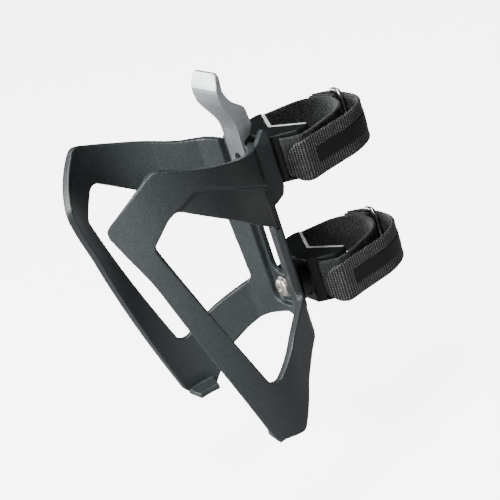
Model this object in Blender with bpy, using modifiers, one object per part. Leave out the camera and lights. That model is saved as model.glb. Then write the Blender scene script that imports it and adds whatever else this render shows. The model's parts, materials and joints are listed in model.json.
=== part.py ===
# Bottle cage with a metal retaining tongue, strapped to a round post by two V adapters.
#
# Frame, in metres: +Z runs up the bottle and the post, -Y is the open front of the
# cage, and X = 0 is its plane of symmetry. The origin is on the post's axis, halfway
# between the two adapters.
import math

import bmesh
import bpy
import numpy as np

mm = 0.001

# ---- fits
gap = 0.3 * mm                    # between two solids that touch on the real thing
runGap = 0.5 * mm                 # between pieces that swivel past each other

# ---- bottle, post and bolts
bottleRadius = 37.0 * mm
bottleSlack = 0.5 * mm
postRadius = 15.5 * mm
postStand = 28.3 * mm             # the post's axis, behind the head
boltSpacing = 64.0 * mm
drawnSpacing = 64.0 * mm          # outline heights below are for this, and rise with the bolts

# ---- cage shell, as an unrolled sheet: angle from the spine in degrees, height in mm
# above the lower bolt, corner radius in mm
shellThickness = 3.4 * mm
shellBevel = 0.5 * mm
shellOutline = [
    (0.0, 76.5, 0), (40.0, 79.5, 60), (80.0, 89.0, 80), (114.0, 98.5, 6),
    (155.5, 76.5, 5), (136.5, 51.5, 70), (97.0, -43.0, 5), (74.0, -48.0, 4),
    (53.0, -30.0, 14), (29.0, -18.5, 40), (0.0, -13.0, 0),
]
windowOutline = [
    (110.0, 79.0, 5.5), (128.0, 65.5, 3.5), (86.5, -19.0, 5), (54.0, -6.0, 40),
    (24.5, 3.0, 5), (27.5, 40.0, 3),
]
# the web above each window is set back from the raised upper ribbon
webOutline = [
    (22.5, 57.5, 0), (84.0, 81.3, 4), (94.0, 83.3, 6), (111.5, 77.0, 0),
    (108.0, 70.0, 0), (22.5, 36.0, 0),
]
webSetback = 1.5 * mm
flatFrom, flatTo = 57.5, 27.5     # degrees: between these the shell runs straight back
turnStep = 5.0                    # degrees between the creases of the rolled sheet

# ---- lip under the bottle, on each side
lipReach = 9.0 * mm
lipThickness = 3.0 * mm
lipTop = -42.5 * mm
lipFrom, lipTo = 73.0, 95.0

# ---- spine and head
spineHalf = 10.2 * mm
spineLap = 1.0 * mm               # the bar starts this far in front of the floor
channelHalf = 7.8 * mm
floorStand = 8.5 * mm             # the floor's front, behind the bottle's round
floorThickness = 2.8 * mm
channelFoot = -9.0 * mm
slotHalf = 6.4 * mm
slotLow, slotHigh = 6.8 * mm, 33.0 * mm
headWall = 3.2 * mm
headFoot = 46.0 * mm
headShelf = 4.0 * mm
headDepth = 8.2 * mm              # behind the floor's front
cheekTop = 82.0 * mm
floorTop = 76.0 * mm

# ---- bolts
boltRadius = 2.45 * mm
boltHeadRadius = 4.6 * mm
boltHeadHeight = 2.3 * mm
boltLength = 12.0 * mm
boltHex = 1.55 * mm
washerThickness = 0.8 * mm
washerRadius = 5.4 * mm

# ---- tongue
tongueSheet = 2.2 * mm
footHalf = 6.6 * mm
spoonHalf = 10.6 * mm
tongueTop = 113.5 * mm
tongueFoot = 59.8 * mm
notchTop = 7.8 * mm               # above the upper bolt
tongueGive = math.radians(3.5)    # how far it springs back about the bolt's height

# ---- adapter
vHalfAngle = math.radians(64.0)
padThickness = 1.6 * mm
adapterWall = 1.45 * mm           # above and below the strap's passage
bossRadius = 10.4 * mm
wedgeNose = 10.4 * mm
wedgeWide = 19.6 * mm
shoulderFrom, shoulderTo = 11.3 * mm, 16.3 * mm   # behind the head
insertRadius = 3.6 * mm
insertLength = 8.0 * mm
boreGap = 0.35 * mm

# ---- strap and ring
strapWidth = 19.6 * mm
strapThickness = 1.7 * mm
passageStand = 5.4 * mm           # the strap's passage, behind the head
strapSlack = 1.3 * mm             # between the post and the strap
ringWire = 1.1 * mm
ringSpan = 7.2 * mm               # between the ring's two bars
ringBarAngle = 8.0               # degrees round the post from its back
tailDrop = 2.6 * mm               # how far the tail's free end sags
tailEnd = 9.0 * mm                # the free end past the adapter's shoulder
stripeHalf = 3.6 * mm
stripeThickness = 0.4 * mm
patchThickness = 0.5 * mm
patchLength = 24.0 * mm

# ---- derived places
shellInner = bottleRadius + bottleSlack
shellMid = shellInner + shellThickness / 2
vReach = (postRadius + padThickness + gap) / math.sin(vHalfAngle)
floorFront = shellInner + floorStand
spineFront = floorFront - spineLap
headFront = shellInner / math.cos(math.radians(flatFrom - flatTo)) + 0.1 * mm
headRear = floorFront + headDepth
postFromBottle = headRear + postStand
bottleY = -postFromBottle
strapPassage = headRear + passageStand
floorBack = floorFront + floorThickness
bossFront = floorBack + gap
wedgeFront = headRear + runGap
lowBoltZ = -boltSpacing / 2
headHalf = bossRadius + runGap + headWall
channelHeadHalf = bossRadius + runGap
adapterHalf = strapWidth / 2 + boreGap + adapterWall
upperFrame = boltSpacing / 2 - drawnSpacing
boltZ = {"upper": boltSpacing / 2, "lower": -boltSpacing / 2}


def clearScene():
    for ob in list(bpy.data.objects):
        bpy.data.objects.remove(ob, do_unlink=True)
    for coll in list(bpy.data.collections):
        bpy.data.collections.remove(coll)


def newCollection(name):
    coll = bpy.data.collections.new(name)
    bpy.context.scene.collection.children.link(coll)
    return coll


def material(name, colour, roughness, metallic=0.0):
    mat = bpy.data.materials.new(name)
    mat.use_nodes = True
    shader = mat.node_tree.nodes["Principled BSDF"]
    shader.inputs["Base Color"].default_value = (*colour, 1.0)
    shader.inputs["Roughness"].default_value = roughness
    shader.inputs["Metallic"].default_value = metallic
    mat.diffuse_color = (*colour, 1.0)
    return mat


def addObject(name, mesh, coll, mat=None):
    ob = bpy.data.objects.new(name, mesh)
    coll.objects.link(ob)
    if mat:
        mesh.materials.clear()
        mesh.materials.append(mat)
    return ob


def asCutter(ob):
    for coll in list(ob.users_collection):
        coll.objects.unlink(ob)
    cutters.objects.link(ob)
    ob.hide_render = True
    ob.display_type = "WIRE"
    return ob


def evaluated(ob):
    """The object's mesh with its modifiers applied."""
    graph = bpy.context.evaluated_depsgraph_get()
    return bpy.data.meshes.new_from_object(ob.evaluated_get(graph))


def bake(ob):
    """Replaces an object's mesh by its evaluated one, its tiny edges merged."""
    mesh = evaluated(ob)
    ob.modifiers.clear()
    ob.data = mesh
    bm = bmesh.new()
    bm.from_mesh(mesh)
    bmesh.ops.remove_doubles(bm, verts=bm.verts, dist=0.00001)
    bm.to_mesh(mesh)
    bm.free()
    return ob


def combine(ob, other, operation):
    mod = ob.modifiers.new(operation.lower(), "BOOLEAN")
    mod.operation = operation
    mod.solver = "EXACT"
    mod.object = other
    return mod


def cut(ob, cutter):
    combine(ob, asCutter(cutter), "DIFFERENCE")


def join(ob, other):
    combine(ob, asCutter(other), "UNION")


def shade(ob, degrees=35.0):
    ob.data.shade_smooth()
    ob.data.set_sharp_from_angle(angle=math.radians(degrees))


def roundCorners(corners, closed=True, turn=18.0):
    """Points of a polygon whose corners are (u, v, radius), each rounded by an arc."""
    pts = [np.array(c[:2], float) for c in corners]
    out = []
    count = len(pts)
    for i in range(count):
        here, radius = pts[i], corners[i][2]
        if radius <= 0 or (not closed and i in (0, count - 1)):
            out.append(here)
            continue
        back, ahead = pts[i - 1] - here, pts[(i + 1) % count] - here
        lb, la = np.linalg.norm(back), np.linalg.norm(ahead)
        back, ahead = back / lb, ahead / la
        half = math.acos(max(-1.0, min(1.0, float(back @ ahead)))) / 2
        if half > math.radians(89.5):
            out.append(here)
            continue
        reach = min(radius / math.tan(half), 0.48 * lb, 0.48 * la)
        radius = reach * math.tan(half)
        centre = here + (back + ahead) / np.linalg.norm(back + ahead) * radius / math.sin(half)
        first, last = here + back * reach - centre, here + ahead * reach - centre
        sweep = math.atan2(first[0] * last[1] - first[1] * last[0], float(first @ last))
        steps = max(2, round(abs(math.degrees(sweep)) / turn))
        for k in range(steps + 1):
            a = sweep * k / steps
            c, s = math.cos(a), math.sin(a)
            out.append(centre + np.array([first[0] * c - first[1] * s,
                                          first[0] * s + first[1] * c]))
    return out


def flatSheet(loops):
    """A filled flat mesh in the XY plane, the first loop its edge and the rest holes."""
    curve = bpy.data.curves.new("outline", "CURVE")
    curve.dimensions = "2D"
    curve.fill_mode = "BOTH"
    for loop in loops:
        spline = curve.splines.new("POLY")
        spline.points.add(len(loop) - 1)
        for point, (u, v) in zip(spline.points, loop):
            point.co = (u, v, 0.0, 1.0)
        spline.use_cyclic_u = True
    ob = bpy.data.objects.new("outline", curve)
    bpy.context.scene.collection.objects.link(ob)
    mesh = evaluated(ob)
    bpy.data.objects.remove(ob, do_unlink=True)
    return mesh


def rolled(name, loops, place, creases, thickness, coll, mat=None):
    """A flat sheet creased at the given u values, carried to place(u, v), made solid."""
    mesh = flatSheet(loops)
    bm = bmesh.new()
    bm.from_mesh(mesh)
    bmesh.ops.remove_doubles(bm, verts=bm.verts, dist=0.000001)
    if bm.faces and sum(f.normal.z for f in bm.faces) < 0:
        bmesh.ops.reverse_faces(bm, faces=bm.faces)
    # a corner that all but lies on a crease is moved onto it
    lines = np.array(sorted(creases)) if len(creases) else np.array([1000.0])
    for v in bm.verts:
        nearest = float(lines[np.argmin(np.abs(lines - v.co.x))])
        if abs(nearest - v.co.x) < 0.15 * mm:
            v.co.x = nearest
    for u in creases:
        geom = bm.verts[:] + bm.edges[:] + bm.faces[:]
        bmesh.ops.bisect_plane(bm, geom=geom, dist=0.00001, plane_co=(u, 0, 0),
                               plane_no=(1, 0, 0))
    near = 0.00001
    loose = [e for e in bm.edges if len(e.link_faces) == 2
             and abs(e.verts[0].co.x - e.verts[1].co.x) > near]
    bmesh.ops.dissolve_edges(bm, edges=loose, use_verts=False)
    spare = [v for v in bm.verts if not v.is_boundary and len(v.link_edges) == 2]
    bmesh.ops.dissolve_verts(bm, verts=spare)
    bmesh.ops.triangulate(bm, faces=bm.faces[:])
    for v in bm.verts:
        v.co = place(v.co.x, v.co.y)
    bm.normal_update()
    bm.to_mesh(mesh)
    bm.free()
    ob = addObject(name, mesh, coll, mat)
    solid = ob.modifiers.new("thickness", "SOLIDIFY")
    solid.thickness = thickness
    solid.offset = 0.0
    solid.use_even_offset = True
    return ob


def onPath(points, height, drop=0.0):
    """Carries (u, v) along a plan path: u is the length along it, v goes up."""
    pts = np.array(points)
    run = np.concatenate([[0.0], np.cumsum(np.linalg.norm(np.diff(pts, axis=0), axis=1))])
    total = float(run[-1])

    def place(u, v):
        x = float(np.interp(u, run, pts[:, 0]))
        y = float(np.interp(u, run, pts[:, 1]))
        t = min(max(u / total, 0.0), 1.0)
        return (x, y, v + height - drop * t * t)
    return place, total, [float(r) for r in run]


def extruded(name, loops, thickness, coll, mat=None, plane="XY", at=0.0):
    """A flat outline extruded; plane names the outline's own two axes."""
    curve = bpy.data.curves.new(name, "CURVE")
    curve.dimensions = "2D"
    curve.fill_mode = "BOTH"
    curve.extrude = thickness / 2
    for loop in loops:
        spline = curve.splines.new("POLY")
        spline.points.add(len(loop) - 1)
        for point, (u, v) in zip(spline.points, loop):
            point.co = (u, v, 0.0, 1.0)
        spline.use_cyclic_u = True
    ob = bpy.data.objects.new(name, curve)
    bpy.context.scene.collection.objects.link(ob)
    mesh = evaluated(ob)
    bpy.data.objects.remove(ob, do_unlink=True)
    bm = bmesh.new()
    bm.from_mesh(mesh)
    bmesh.ops.remove_doubles(bm, verts=bm.verts, dist=0.000001)
    for v in bm.verts:
        a, b, c = v.co
        v.co = {"XY": (a, b, c + at), "YZ": (c + at, a, b), "XZ": (a, c + at, b)}[plane]
    bmesh.ops.recalc_face_normals(bm, faces=bm.faces[:])
    bm.to_mesh(mesh)
    bm.free()
    return addObject(name, mesh, coll, mat)


def box(name, low, high, coll):
    bm = bmesh.new()
    bmesh.ops.create_cube(bm, size=1.0)
    low, high = np.array(low), np.array(high)
    for v in bm.verts:
        v.co = tuple((low + high) / 2 + np.array(v.co) * (high - low))
    mesh = bpy.data.meshes.new(name)
    bm.to_mesh(mesh)
    bm.free()
    return addObject(name, mesh, coll)


def rodY(name, radius, y0, y1, z, coll, mat=None, segments=40):
    """A cylinder along Y."""
    bm = bmesh.new()
    bmesh.ops.create_cone(bm, cap_ends=True, segments=segments, radius1=radius,
                          radius2=radius, depth=abs(y1 - y0))
    for v in bm.verts:
        x, y, h = v.co
        v.co = (x, (y0 + y1) / 2 + h, z - y)
    bmesh.ops.recalc_face_normals(bm, faces=bm.faces[:])
    mesh = bpy.data.meshes.new(name)
    bm.to_mesh(mesh)
    bm.free()
    return addObject(name, mesh, coll, mat)


def turnedY(name, profile, z, coll, mat, steps=32):
    """A profile of (radius, y) turned round the Y axis at height z."""
    mesh = bpy.data.meshes.new(name)
    bm = bmesh.new()
    ring = [bm.verts.new((r, y, 0.0)) for r, y in profile]
    for a, b in zip(ring, ring[1:]):
        bm.edges.new((a, b))
    bm.to_mesh(mesh)
    bm.free()
    ob = addObject(name, mesh, coll, mat)
    mod = ob.modifiers.new("turn", "SCREW")
    mod.axis = "Y"
    mod.steps = mod.render_steps = steps
    mod.use_merge_vertices = True
    mod.merge_threshold = 0.00001
    mod.use_smooth_shade = True
    bake(ob)
    bm = bmesh.new()
    bm.from_mesh(ob.data)
    bmesh.ops.recalc_face_normals(bm, faces=bm.faces[:])
    bm.to_mesh(ob.data)
    bm.free()
    ob.location = (0.0, 0.0, z)
    return ob


def fromBottle(y):
    return bottleY + y


# ---------------------------------------------------------------- cage shell

def risen(height):
    """A drawn height above the lower bolt; the upper half rises with the upper bolt."""
    share = min(max(height * mm / drawnSpacing, 0.0), 1.0)
    return height + share * (boltSpacing - drawnSpacing) / mm


def sheetLoop(corners, mirror=False):
    """An unrolled outline in metres, its right half only or with its mirror image."""
    scale = math.radians(1.0) * shellMid
    flat = [(a * scale / mm, risen(z), r) for a, z, r in corners]
    if mirror:
        flat = flat + [(-u, z, r) for u, z, r in reversed(flat) if u > 0]
    return [(u * mm, v * mm) for u, v in roundCorners(flat)]


def creaseList(limit):
    scale = math.radians(1.0) * shellMid
    count = int(limit / turnStep)
    return [k * turnStep * scale for k in range(-count, count + 1)]


def fallBack(angle):
    """How far behind the bottle's round the shell stands, by angle from the spine."""
    lead = min(max(flatFrom - abs(math.degrees(angle)), 0.0), flatFrom - flatTo)
    return shellInner * (1.0 / math.cos(math.radians(lead)) - 1.0)


def onShell(radius):
    """Carries (u, v) of the unrolled shell to its place, at a radius of its wall."""
    def place(u, v):
        a = u / shellMid
        r = radius + fallBack(a)
        return (r * math.sin(a), bottleY + r * math.cos(a), v + lowBoltZ)
    return place


def buildShell(coll, mat):
    outer = sheetLoop(shellOutline, mirror=True)
    window = sheetLoop(windowOutline)
    other = [(-u, v) for u, v in window]
    ob = rolled("cage_body", [outer, window, other], onShell(shellMid), creaseList(150.0),
                shellThickness, coll, mat)
    bevel = ob.modifiers.new("edge", "BEVEL")
    bevel.width = shellBevel
    bevel.segments = 1
    bevel.limit_method = "ANGLE"
    bevel.angle_limit = math.radians(50.0)
    bake(ob)
    return ob


def buildCage(coll, mat):
    cage = buildShell(coll, mat)
    z0 = lowBoltZ

    # spine: a bar behind the shell, closed at the foot of its channel
    rise = (upperFrame - lowBoltZ) / mm
    spine = [(-spineHalf / mm, -12.5, 4), (spineHalf / mm, -12.5, 4),
             (spineHalf / mm, rise + 60.0, 0), (-spineHalf / mm, rise + 60.0, 0)]
    spineLoop = [(x * mm, z * mm + z0) for x, z in roundCorners(spine)]
    bar = extruded("spine", [spineLoop], floorBack - spineFront, coll,
                   plane="XZ", at=fromBottle((floorBack + spineFront) / 2))
    join(cage, bar)

    # head: two cheeks either side of the upper adapter's boss, joined by the floor
    front = headFront / mm
    side = [(front, headFoot / mm, 0), (front + 4.0, headFoot / mm, 1.5),
            (headRear / mm - 1.6, headFoot / mm + 2.6, 2),
            (headRear / mm, headFoot / mm + 6.5, 3), (headRear / mm, 79.5, 2.5),
            (headRear / mm - 2.2, cheekTop / mm, 2.2), (front + 1.6, 74.6, 2), (front, 73.0, 0)]
    sideLoop = [(fromBottle(y * mm), z * mm + upperFrame) for y, z in roundCorners(side)]
    head = extruded("head", [sideLoop], 2 * headHalf, coll, plane="YZ")
    join(cage, head)
    bake(cage)

    # lip under the bottle: a ring sector on each side, reaching in from the shell
    for side in (1, -1):
        inner, outer = shellInner - lipReach, shellInner + shellThickness * 0.55
        angles = np.radians(np.linspace(lipFrom, lipTo, 9))
        loop = [(side * outer * math.sin(a), outer * math.cos(a)) for a in angles]
        loop += [(side * inner * math.sin(a), inner * math.cos(a)) for a in angles[::-1]]
        loop = [(x, fromBottle(y)) for x, y in loop]
        lip = extruded("lip", [loop], lipThickness, coll,
                       at=z0 + lipTop - lipThickness / 2)
        join(cage, lip)
    bake(cage)

    # rear pocket for the boss, open at the back and the top
    cut(cage, box("rear_pocket",
                  (-channelHeadHalf, fromBottle(floorBack), upperFrame + headFoot + headShelf),
                  (channelHeadHalf, fromBottle(headRear + 5 * mm), upperFrame + 120 * mm), coll))
    # front channel, wide in the head and narrower down the spine
    narrow = [(-channelHalf / mm, channelFoot / mm, 5), (channelHalf / mm, channelFoot / mm, 5),
              (channelHalf / mm, rise + 47.0, 0), (channelHeadHalf / mm, rise + 51.0, 0),
              (channelHeadHalf / mm, rise + 130.0, 0), (-channelHeadHalf / mm, rise + 130.0, 0),
              (-channelHeadHalf / mm, rise + 51.0, 0), (-channelHalf / mm, rise + 47.0, 0)]
    narrowLoop = [(x * mm, z * mm + z0) for x, z in roundCorners(narrow)]
    depth = floorFront - 20 * mm
    cut(cage, extruded("channel", [narrowLoop], depth, coll, plane="XZ",
                       at=fromBottle(20 * mm + depth / 2)))
    # over the top of the floor
    cut(cage, box("floor_top", (-channelHeadHalf, fromBottle(40 * mm), upperFrame + floorTop),
                  (channelHeadHalf, fromBottle(60 * mm), upperFrame + 120 * mm), coll))
    bake(cage)

    # the floor leans back above the bolt, out of the way of the tongue's foot
    lean = math.tan(tongueGive + math.radians(0.7))
    face, lead = fromBottle(floorFront), 0.2 * mm
    foot, over = boltZ["upper"] + 3 * mm, upperFrame + floorTop + 2 * mm
    relief = [(face - 2 * mm, foot - lead / lean), (face - lead, foot - lead / lean),
              (face + lean * (over - foot), over), (face - 2 * mm, over)]
    cut(cage, extruded("tongue_relief", [relief], 2 * (footHalf + runGap), coll, plane="YZ"))
    bake(cage)

    slot = [(-slotHalf / mm, slotLow / mm, 4.5), (slotHalf / mm, slotLow / mm, 4.5),
            (slotHalf / mm, rise + slotHigh / mm, 1.2),
            (-slotHalf / mm, rise + slotHigh / mm, 1.2)]
    slotLoop = [(x * mm, z * mm + z0) for x, z in roundCorners(slot)]
    cut(cage, extruded("slot", [slotLoop], 20 * mm, coll, plane="XZ", at=fromBottle(floorBack)))
    for name, z in boltZ.items():
        cut(cage, rodY(name + "_bolt_hole", boltRadius + boreGap, fromBottle(floorFront - 5 * mm),
                       fromBottle(floorBack + 5 * mm), z, coll, segments=24))
    bake(cage)

    # the set-back web above each window
    scale = math.radians(1.0) * shellMid
    web = sheetLoop(webOutline)
    reach = shellInner + shellThickness - webSetback
    for side in (1, -1):
        loop = [(side * u, v) for u, v in web]
        creases = [side * k * turnStep * scale for k in range(5, 23)]
        tool = rolled("web_cut", [loop], onShell(reach + 3 * mm), creases, 6 * mm, coll)
        bake(tool)
        fixNormals(tool)
        cut(cage, tool)
    bake(cage)
    shade(cage, 32.0)
    return cage


def fixNormals(ob):
    bm = bmesh.new()
    bm.from_mesh(ob.data)
    bmesh.ops.recalc_face_normals(bm, faces=bm.faces[:])
    bm.to_mesh(ob.data)
    bm.free()


# ---------------------------------------------------------------- tongue

def buildTongue(coll, mat, pivot):
    z0 = upperFrame
    front = floorFront - gap - tongueSheet
    back = floorFront - gap
    f = front / mm
    # side profile from the foot up the front face, over the tip and down the back
    side = [(f, tongueFoot / mm, 0), (f + 0.3, 87.0, 12), (f - 5.5, 98.5, 9),
            (f - 5.9, 106.0, 9), (f - 2.6, tongueTop / mm, 1.5),
            (f - 1.2, tongueTop / mm - 0.9, 1.0), (f - 3.3, 104.5, 8), (f, 98.6, 10),
            (f + 6.8, 93.0, 5), (f + 8.6, 84.0, 1.5), (f + 6.0, 79.0, 1.5),
            (back / mm, 77.4, 0.6), (back / mm, tongueFoot / mm, 0)]
    sideLoop = [(fromBottle(y * mm), z * mm + z0) for y, z in roundCorners(side)]
    tongue = extruded("retaining_tongue", [sideLoop], 2.4 * spoonHalf, coll, mat, plane="YZ")
    # front outline: straight foot, wider rounded spoon
    face = [(-footHalf / mm, 40.0, 0), (footHalf / mm, 40.0, 0), (footHalf / mm, 86.0, 25),
            (spoonHalf / mm, 101.0, 14), (spoonHalf / mm - 0.3, tongueTop / mm + 0.5, 6.5),
            (-spoonHalf / mm + 0.3, tongueTop / mm + 0.5, 6.5), (-spoonHalf / mm, 101.0, 14),
            (-footHalf / mm, 86.0, 25)]
    faceLoop = [(x * mm, z * mm + z0) for x, z in roundCorners(face)]
    outline = extruded("tongue_outline", [faceLoop], 60 * mm, coll, plane="XZ",
                       at=fromBottle(f * mm))
    combine(tongue, asCutter(outline), "INTERSECT")
    bake(tongue)
    # hollow back: the sheet is open to the rear between its two side flanges
    t = tongueSheet / mm
    hollow = [(f + t, 79.2, 0.5), (f + t + 0.3, 87.6, 10), (f - 5.5 + t + 0.9, 99.2, 6),
              (f - 0.6, 101.5, 1), (f + 30.0, 101.5, 0), (f + 30.0, 74.0, 0), (f + t, 74.0, 0)]
    hollowLoop = [(fromBottle(y * mm), z * mm + z0) for y, z in roundCorners(hollow)]
    cut(tongue, extruded("tongue_hollow", [hollowLoop], 2 * (footHalf - 1.6 * mm), coll,
                         plane="YZ"))
    # notch round the bolt, open at the foot
    bolt = boltZ["upper"]
    half = (boltRadius + boreGap) / mm
    top = (bolt - z0) / mm + notchTop / mm
    notch = [(-half, 40.0, 0), (half, 40.0, 0), (half, top, half), (-half, top, half)]
    notchLoop = [(x * mm, z * mm + z0) for x, z in roundCorners(notch)]
    cut(tongue, extruded("tongue_notch", [notchLoop], 8 * mm, coll, plane="XZ",
                         at=fromBottle(f * mm)))
    bake(tongue)
    shade(tongue, 32.0)
    hang(tongue, pivot)
    return tongue


def hang(ob, empty):
    """Parents an object to an empty and leaves it where it is in the world."""
    ob.parent = empty
    ob.matrix_parent_inverse = empty.matrix_world.inverted()


def pivotEmpty(name, place, coll):
    empty = bpy.data.objects.new(name, None)
    empty.empty_display_size = 0.01
    empty.location = place
    coll.objects.link(empty)
    bpy.context.view_layer.update()
    return empty


# ---------------------------------------------------------------- bolts

def buildBolt(name, z, seat, coll, mat):
    """Button head with a hex socket; seat is the y of the head's underside."""
    h, r = boltHeadHeight, boltHeadRadius
    tip = seat + boltLength
    dome = [(r * math.cos(a), seat - h * (0.35 + 0.65 * math.sin(a)))
            for a in np.radians(np.linspace(0, 78, 6))]
    profile = [(0.0, tip), (boltRadius * 0.8, tip), (boltRadius, tip - 0.6 * mm),
               (boltRadius, seat), (r, seat)] + dome + [(0.0, seat - h)]
    bolt = turnedY(name, profile, 0.0, coll, mat)
    hexLoop = [(boltHex * math.cos(math.radians(60 * k)), boltHex * math.sin(math.radians(60 * k)))
               for k in range(6)]
    cut(bolt, extruded(name + "_socket", [hexLoop], 2.6 * mm, coll, plane="XZ", at=seat - h))
    bake(bolt)
    shade(bolt, 40.0)
    bolt.location = (0.0, 0.0, z)
    return bolt


def buildWasher(name, z, back, coll, mat):
    r0, r1, t = boltRadius + boreGap, washerRadius, washerThickness
    c = 0.15 * mm
    profile = [(r0, back), (r1 - c, back), (r1, back - c), (r1, back - t + c),
               (r1 - c, back - t), (r0, back - t), (r0, back)]
    washer = turnedY(name, profile, z, coll, mat)
    shade(washer, 40.0)
    return washer


# ---------------------------------------------------------------- adapters

def wedgeCorners():
    """Plan outline of the adapter behind the head, in mm from the bottle's axis."""
    corner = (postFromBottle - vReach) / mm
    slope = 1 / math.tan(vHalfAngle)
    tipX = 17.8
    front = wedgeFront / mm
    w, n = wedgeWide / mm, wedgeNose / mm
    low, high = (headRear + shoulderFrom) / mm, (headRear + shoulderTo) / mm
    return [(-n, front, 1.0), (n, front, 1.0), (w, low, 2.5), (w, high, 2.0),
            (tipX + 0.6, corner + slope * tipX + 1.6, 0.8), (tipX - 0.6, corner + slope * tipX, 0.6),
            (0.0, corner, 0.4), (-tipX + 0.6, corner + slope * tipX, 0.6),
            (-tipX - 0.6, corner + slope * tipX + 1.6, 0.8), (-w, high, 2.0), (-w, low, 2.5)]


def buildAdapter(which, coll, mat):
    z = boltZ[which]
    name = which + "_adapter"
    loop = [(x * mm, fromBottle(y * mm)) for x, y in roundCorners(wedgeCorners())]
    body = extruded(name, [loop], 2 * adapterHalf, coll, mat, at=z)
    edge = body.modifiers.new("edge", "BEVEL")
    edge.width = 0.5 * mm
    edge.segments = 1
    edge.limit_method = "ANGLE"
    edge.angle_limit = math.radians(60.0)
    bake(body)
    boss = rodY(which + "_boss", bossRadius, fromBottle(bossFront),
                fromBottle(wedgeFront + 4 * mm), z, coll, segments=48)
    join(body, boss)
    bake(body)
    # the strap's passage, right through from side to side
    half = strapThickness / 2 + boreGap
    mid = fromBottle(strapPassage)
    high = strapWidth / 2 + boreGap
    cut(body, box(which + "_passage", (-30 * mm, mid - half, z - high),
                  (30 * mm, mid + half, z + high), coll))
    cut(body, rodY(which + "_insert_hole", insertRadius + boreGap,
                   fromBottle(bossFront - 2 * mm),
                   fromBottle(bossFront + insertLength + boreGap), z, coll, segments=32))
    bake(body)
    shade(body, 32.0)
    return body


def buildInsert(which, coll, mat):
    r0, r1 = boltRadius + boreGap, insertRadius
    y0 = fromBottle(bossFront + 0.1 * mm)
    y1 = y0 + insertLength - 0.1 * mm
    c = 0.3 * mm
    profile = [(r0, y1), (r1 - c, y1), (r1, y1 - c), (r1, y0 + c), (r1 - c, y0), (r0, y0), (r0, y1)]
    insert = turnedY(which + "_insert", profile, boltZ[which], coll, mat)
    shade(insert, 40.0)
    return insert


def buildPad(which, coll, mat):
    """A V strip between the adapter and the post."""
    inner = -postRadius / math.sin(vHalfAngle)
    outer = inner - padThickness / math.sin(vHalfAngle)
    slope = 1 / math.tan(vHalfAngle)
    tip = 17.4 * mm
    shift = padThickness * math.cos(vHalfAngle)
    rim = [(-tip, outer + slope * tip), (0.0, outer), (tip, outer + slope * tip),
           (tip - shift, inner + slope * (tip - shift)), (0.0, inner),
           (-tip + shift, inner + slope * (tip - shift))]
    corners = [(x / mm, y / mm, 0.35) for x, y in rim]
    loop = [(x * mm, y * mm) for x, y in roundCorners(corners, turn=45.0)]
    pad = extruded(which + "_pad", [loop], 2 * adapterHalf - 0.4 * mm, coll, mat,
                   at=boltZ[which])
    shade(pad, 32.0)
    return pad


# ---------------------------------------------------------------- straps

loopRadius = postRadius + strapSlack + strapThickness / 2
barRadius = (loopRadius + strapThickness + 2 * gap + strapThickness / 2 + ringWire
             + 0.1 * mm)


def aroundPost(degrees, radius):
    """A plan point round the post: 0 degrees is its back, positive towards +X."""
    a = math.radians(degrees)
    return np.array([radius * math.sin(a), radius * math.cos(a)])


def barPlace(second=False):
    step = math.degrees(ringSpan / barRadius)
    return aroundPost(ringBarAngle - (step if second else 0.0), barRadius)


def flankCorners():
    """Plan corners of the loop's near side, in mm: horn, shoulder and passage mouth."""
    p = (strapPassage - postFromBottle) / mm
    wide = (wedgeWide + strapThickness / 2 + 0.6 * mm) / mm
    return [np.array([wide, -10.5]), np.array([wide + 0.2, -17.4]),
            np.array([wedgeNose / mm + 5.6, p])]


def loopPath():
    """The strap's closed run: through the adapter, past the horns, round the post."""
    horn, shoulder, mouth = flankCorners()
    arc = [aroundPost(a, loopRadius / mm) for a in np.linspace(7.0, 75.0, 6)]
    near = [(*p, 0) for p in arc] + [(*horn, 5.0), (*shoulder, 3.0), (*mouth, 2.0)]
    far = [(-x, y, r) for x, y, r in reversed(near)]
    return [(x * mm, y * mm) for x, y in roundCorners(far + near, turn=15.0)]


def buildLoop(which, coll, mat):
    curve = bpy.data.curves.new(which + "_strap", "CURVE")
    curve.dimensions = "3D"
    curve.extrude = strapWidth / 2
    points = loopPath()
    spline = curve.splines.new("POLY")
    spline.points.add(len(points) - 1)
    for point, (x, y) in zip(spline.points, points):
        point.co = (x, y, boltZ[which], 1.0)
    spline.use_cyclic_u = True
    temp = bpy.data.objects.new("ribbon", curve)
    bpy.context.scene.collection.objects.link(temp)
    mesh = evaluated(temp)
    bpy.data.objects.remove(temp, do_unlink=True)
    ob = addObject(which + "_strap", mesh, coll, mat)
    solid = ob.modifiers.new("thickness", "SOLIDIFY")
    solid.thickness = strapThickness
    solid.offset = 0.0
    solid.use_even_offset = True
    bake(ob)
    fixNormals(ob)
    shade(ob, 40.0)
    return ob


def tailPath():
    """Round the ring's first bar, then along the near side to the free end."""
    bar = barPlace() / mm
    r = (ringWire + gap + strapThickness / 2) / mm
    turn = [bar + r * np.array([math.cos(a), math.sin(a)])
            for a in np.radians(np.linspace(178.0, 92.0, 5))]
    stand = (strapThickness + patchThickness + 2.6 * gap) / mm
    horn, shoulder, mouth = flankCorners()
    down = (mouth - shoulder) / np.linalg.norm(mouth - shoulder)
    out = np.array([-down[1], down[0]])
    x = shoulder[0] + stand
    bend = shoulder + out * stand
    bend = bend - down * (bend[0] - x) / down[0]
    end = bend + down * tailEnd / mm
    rest = [(*turn[-1], 0), (bar[0] + 16.0, turn[-1][1] - 0.6, 15.0), (x + 0.8, 8.0, 22.0),
            (x, -10.0, 12.0), (*bend, 4.0), (*end, 0)]
    rest = roundCorners(rest, closed=False, turn=12.0)
    points = [tuple(p) for p in turn[:-1]] + [tuple(p) for p in rest]
    return [(x * mm, y * mm) for x, y in points]


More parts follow.
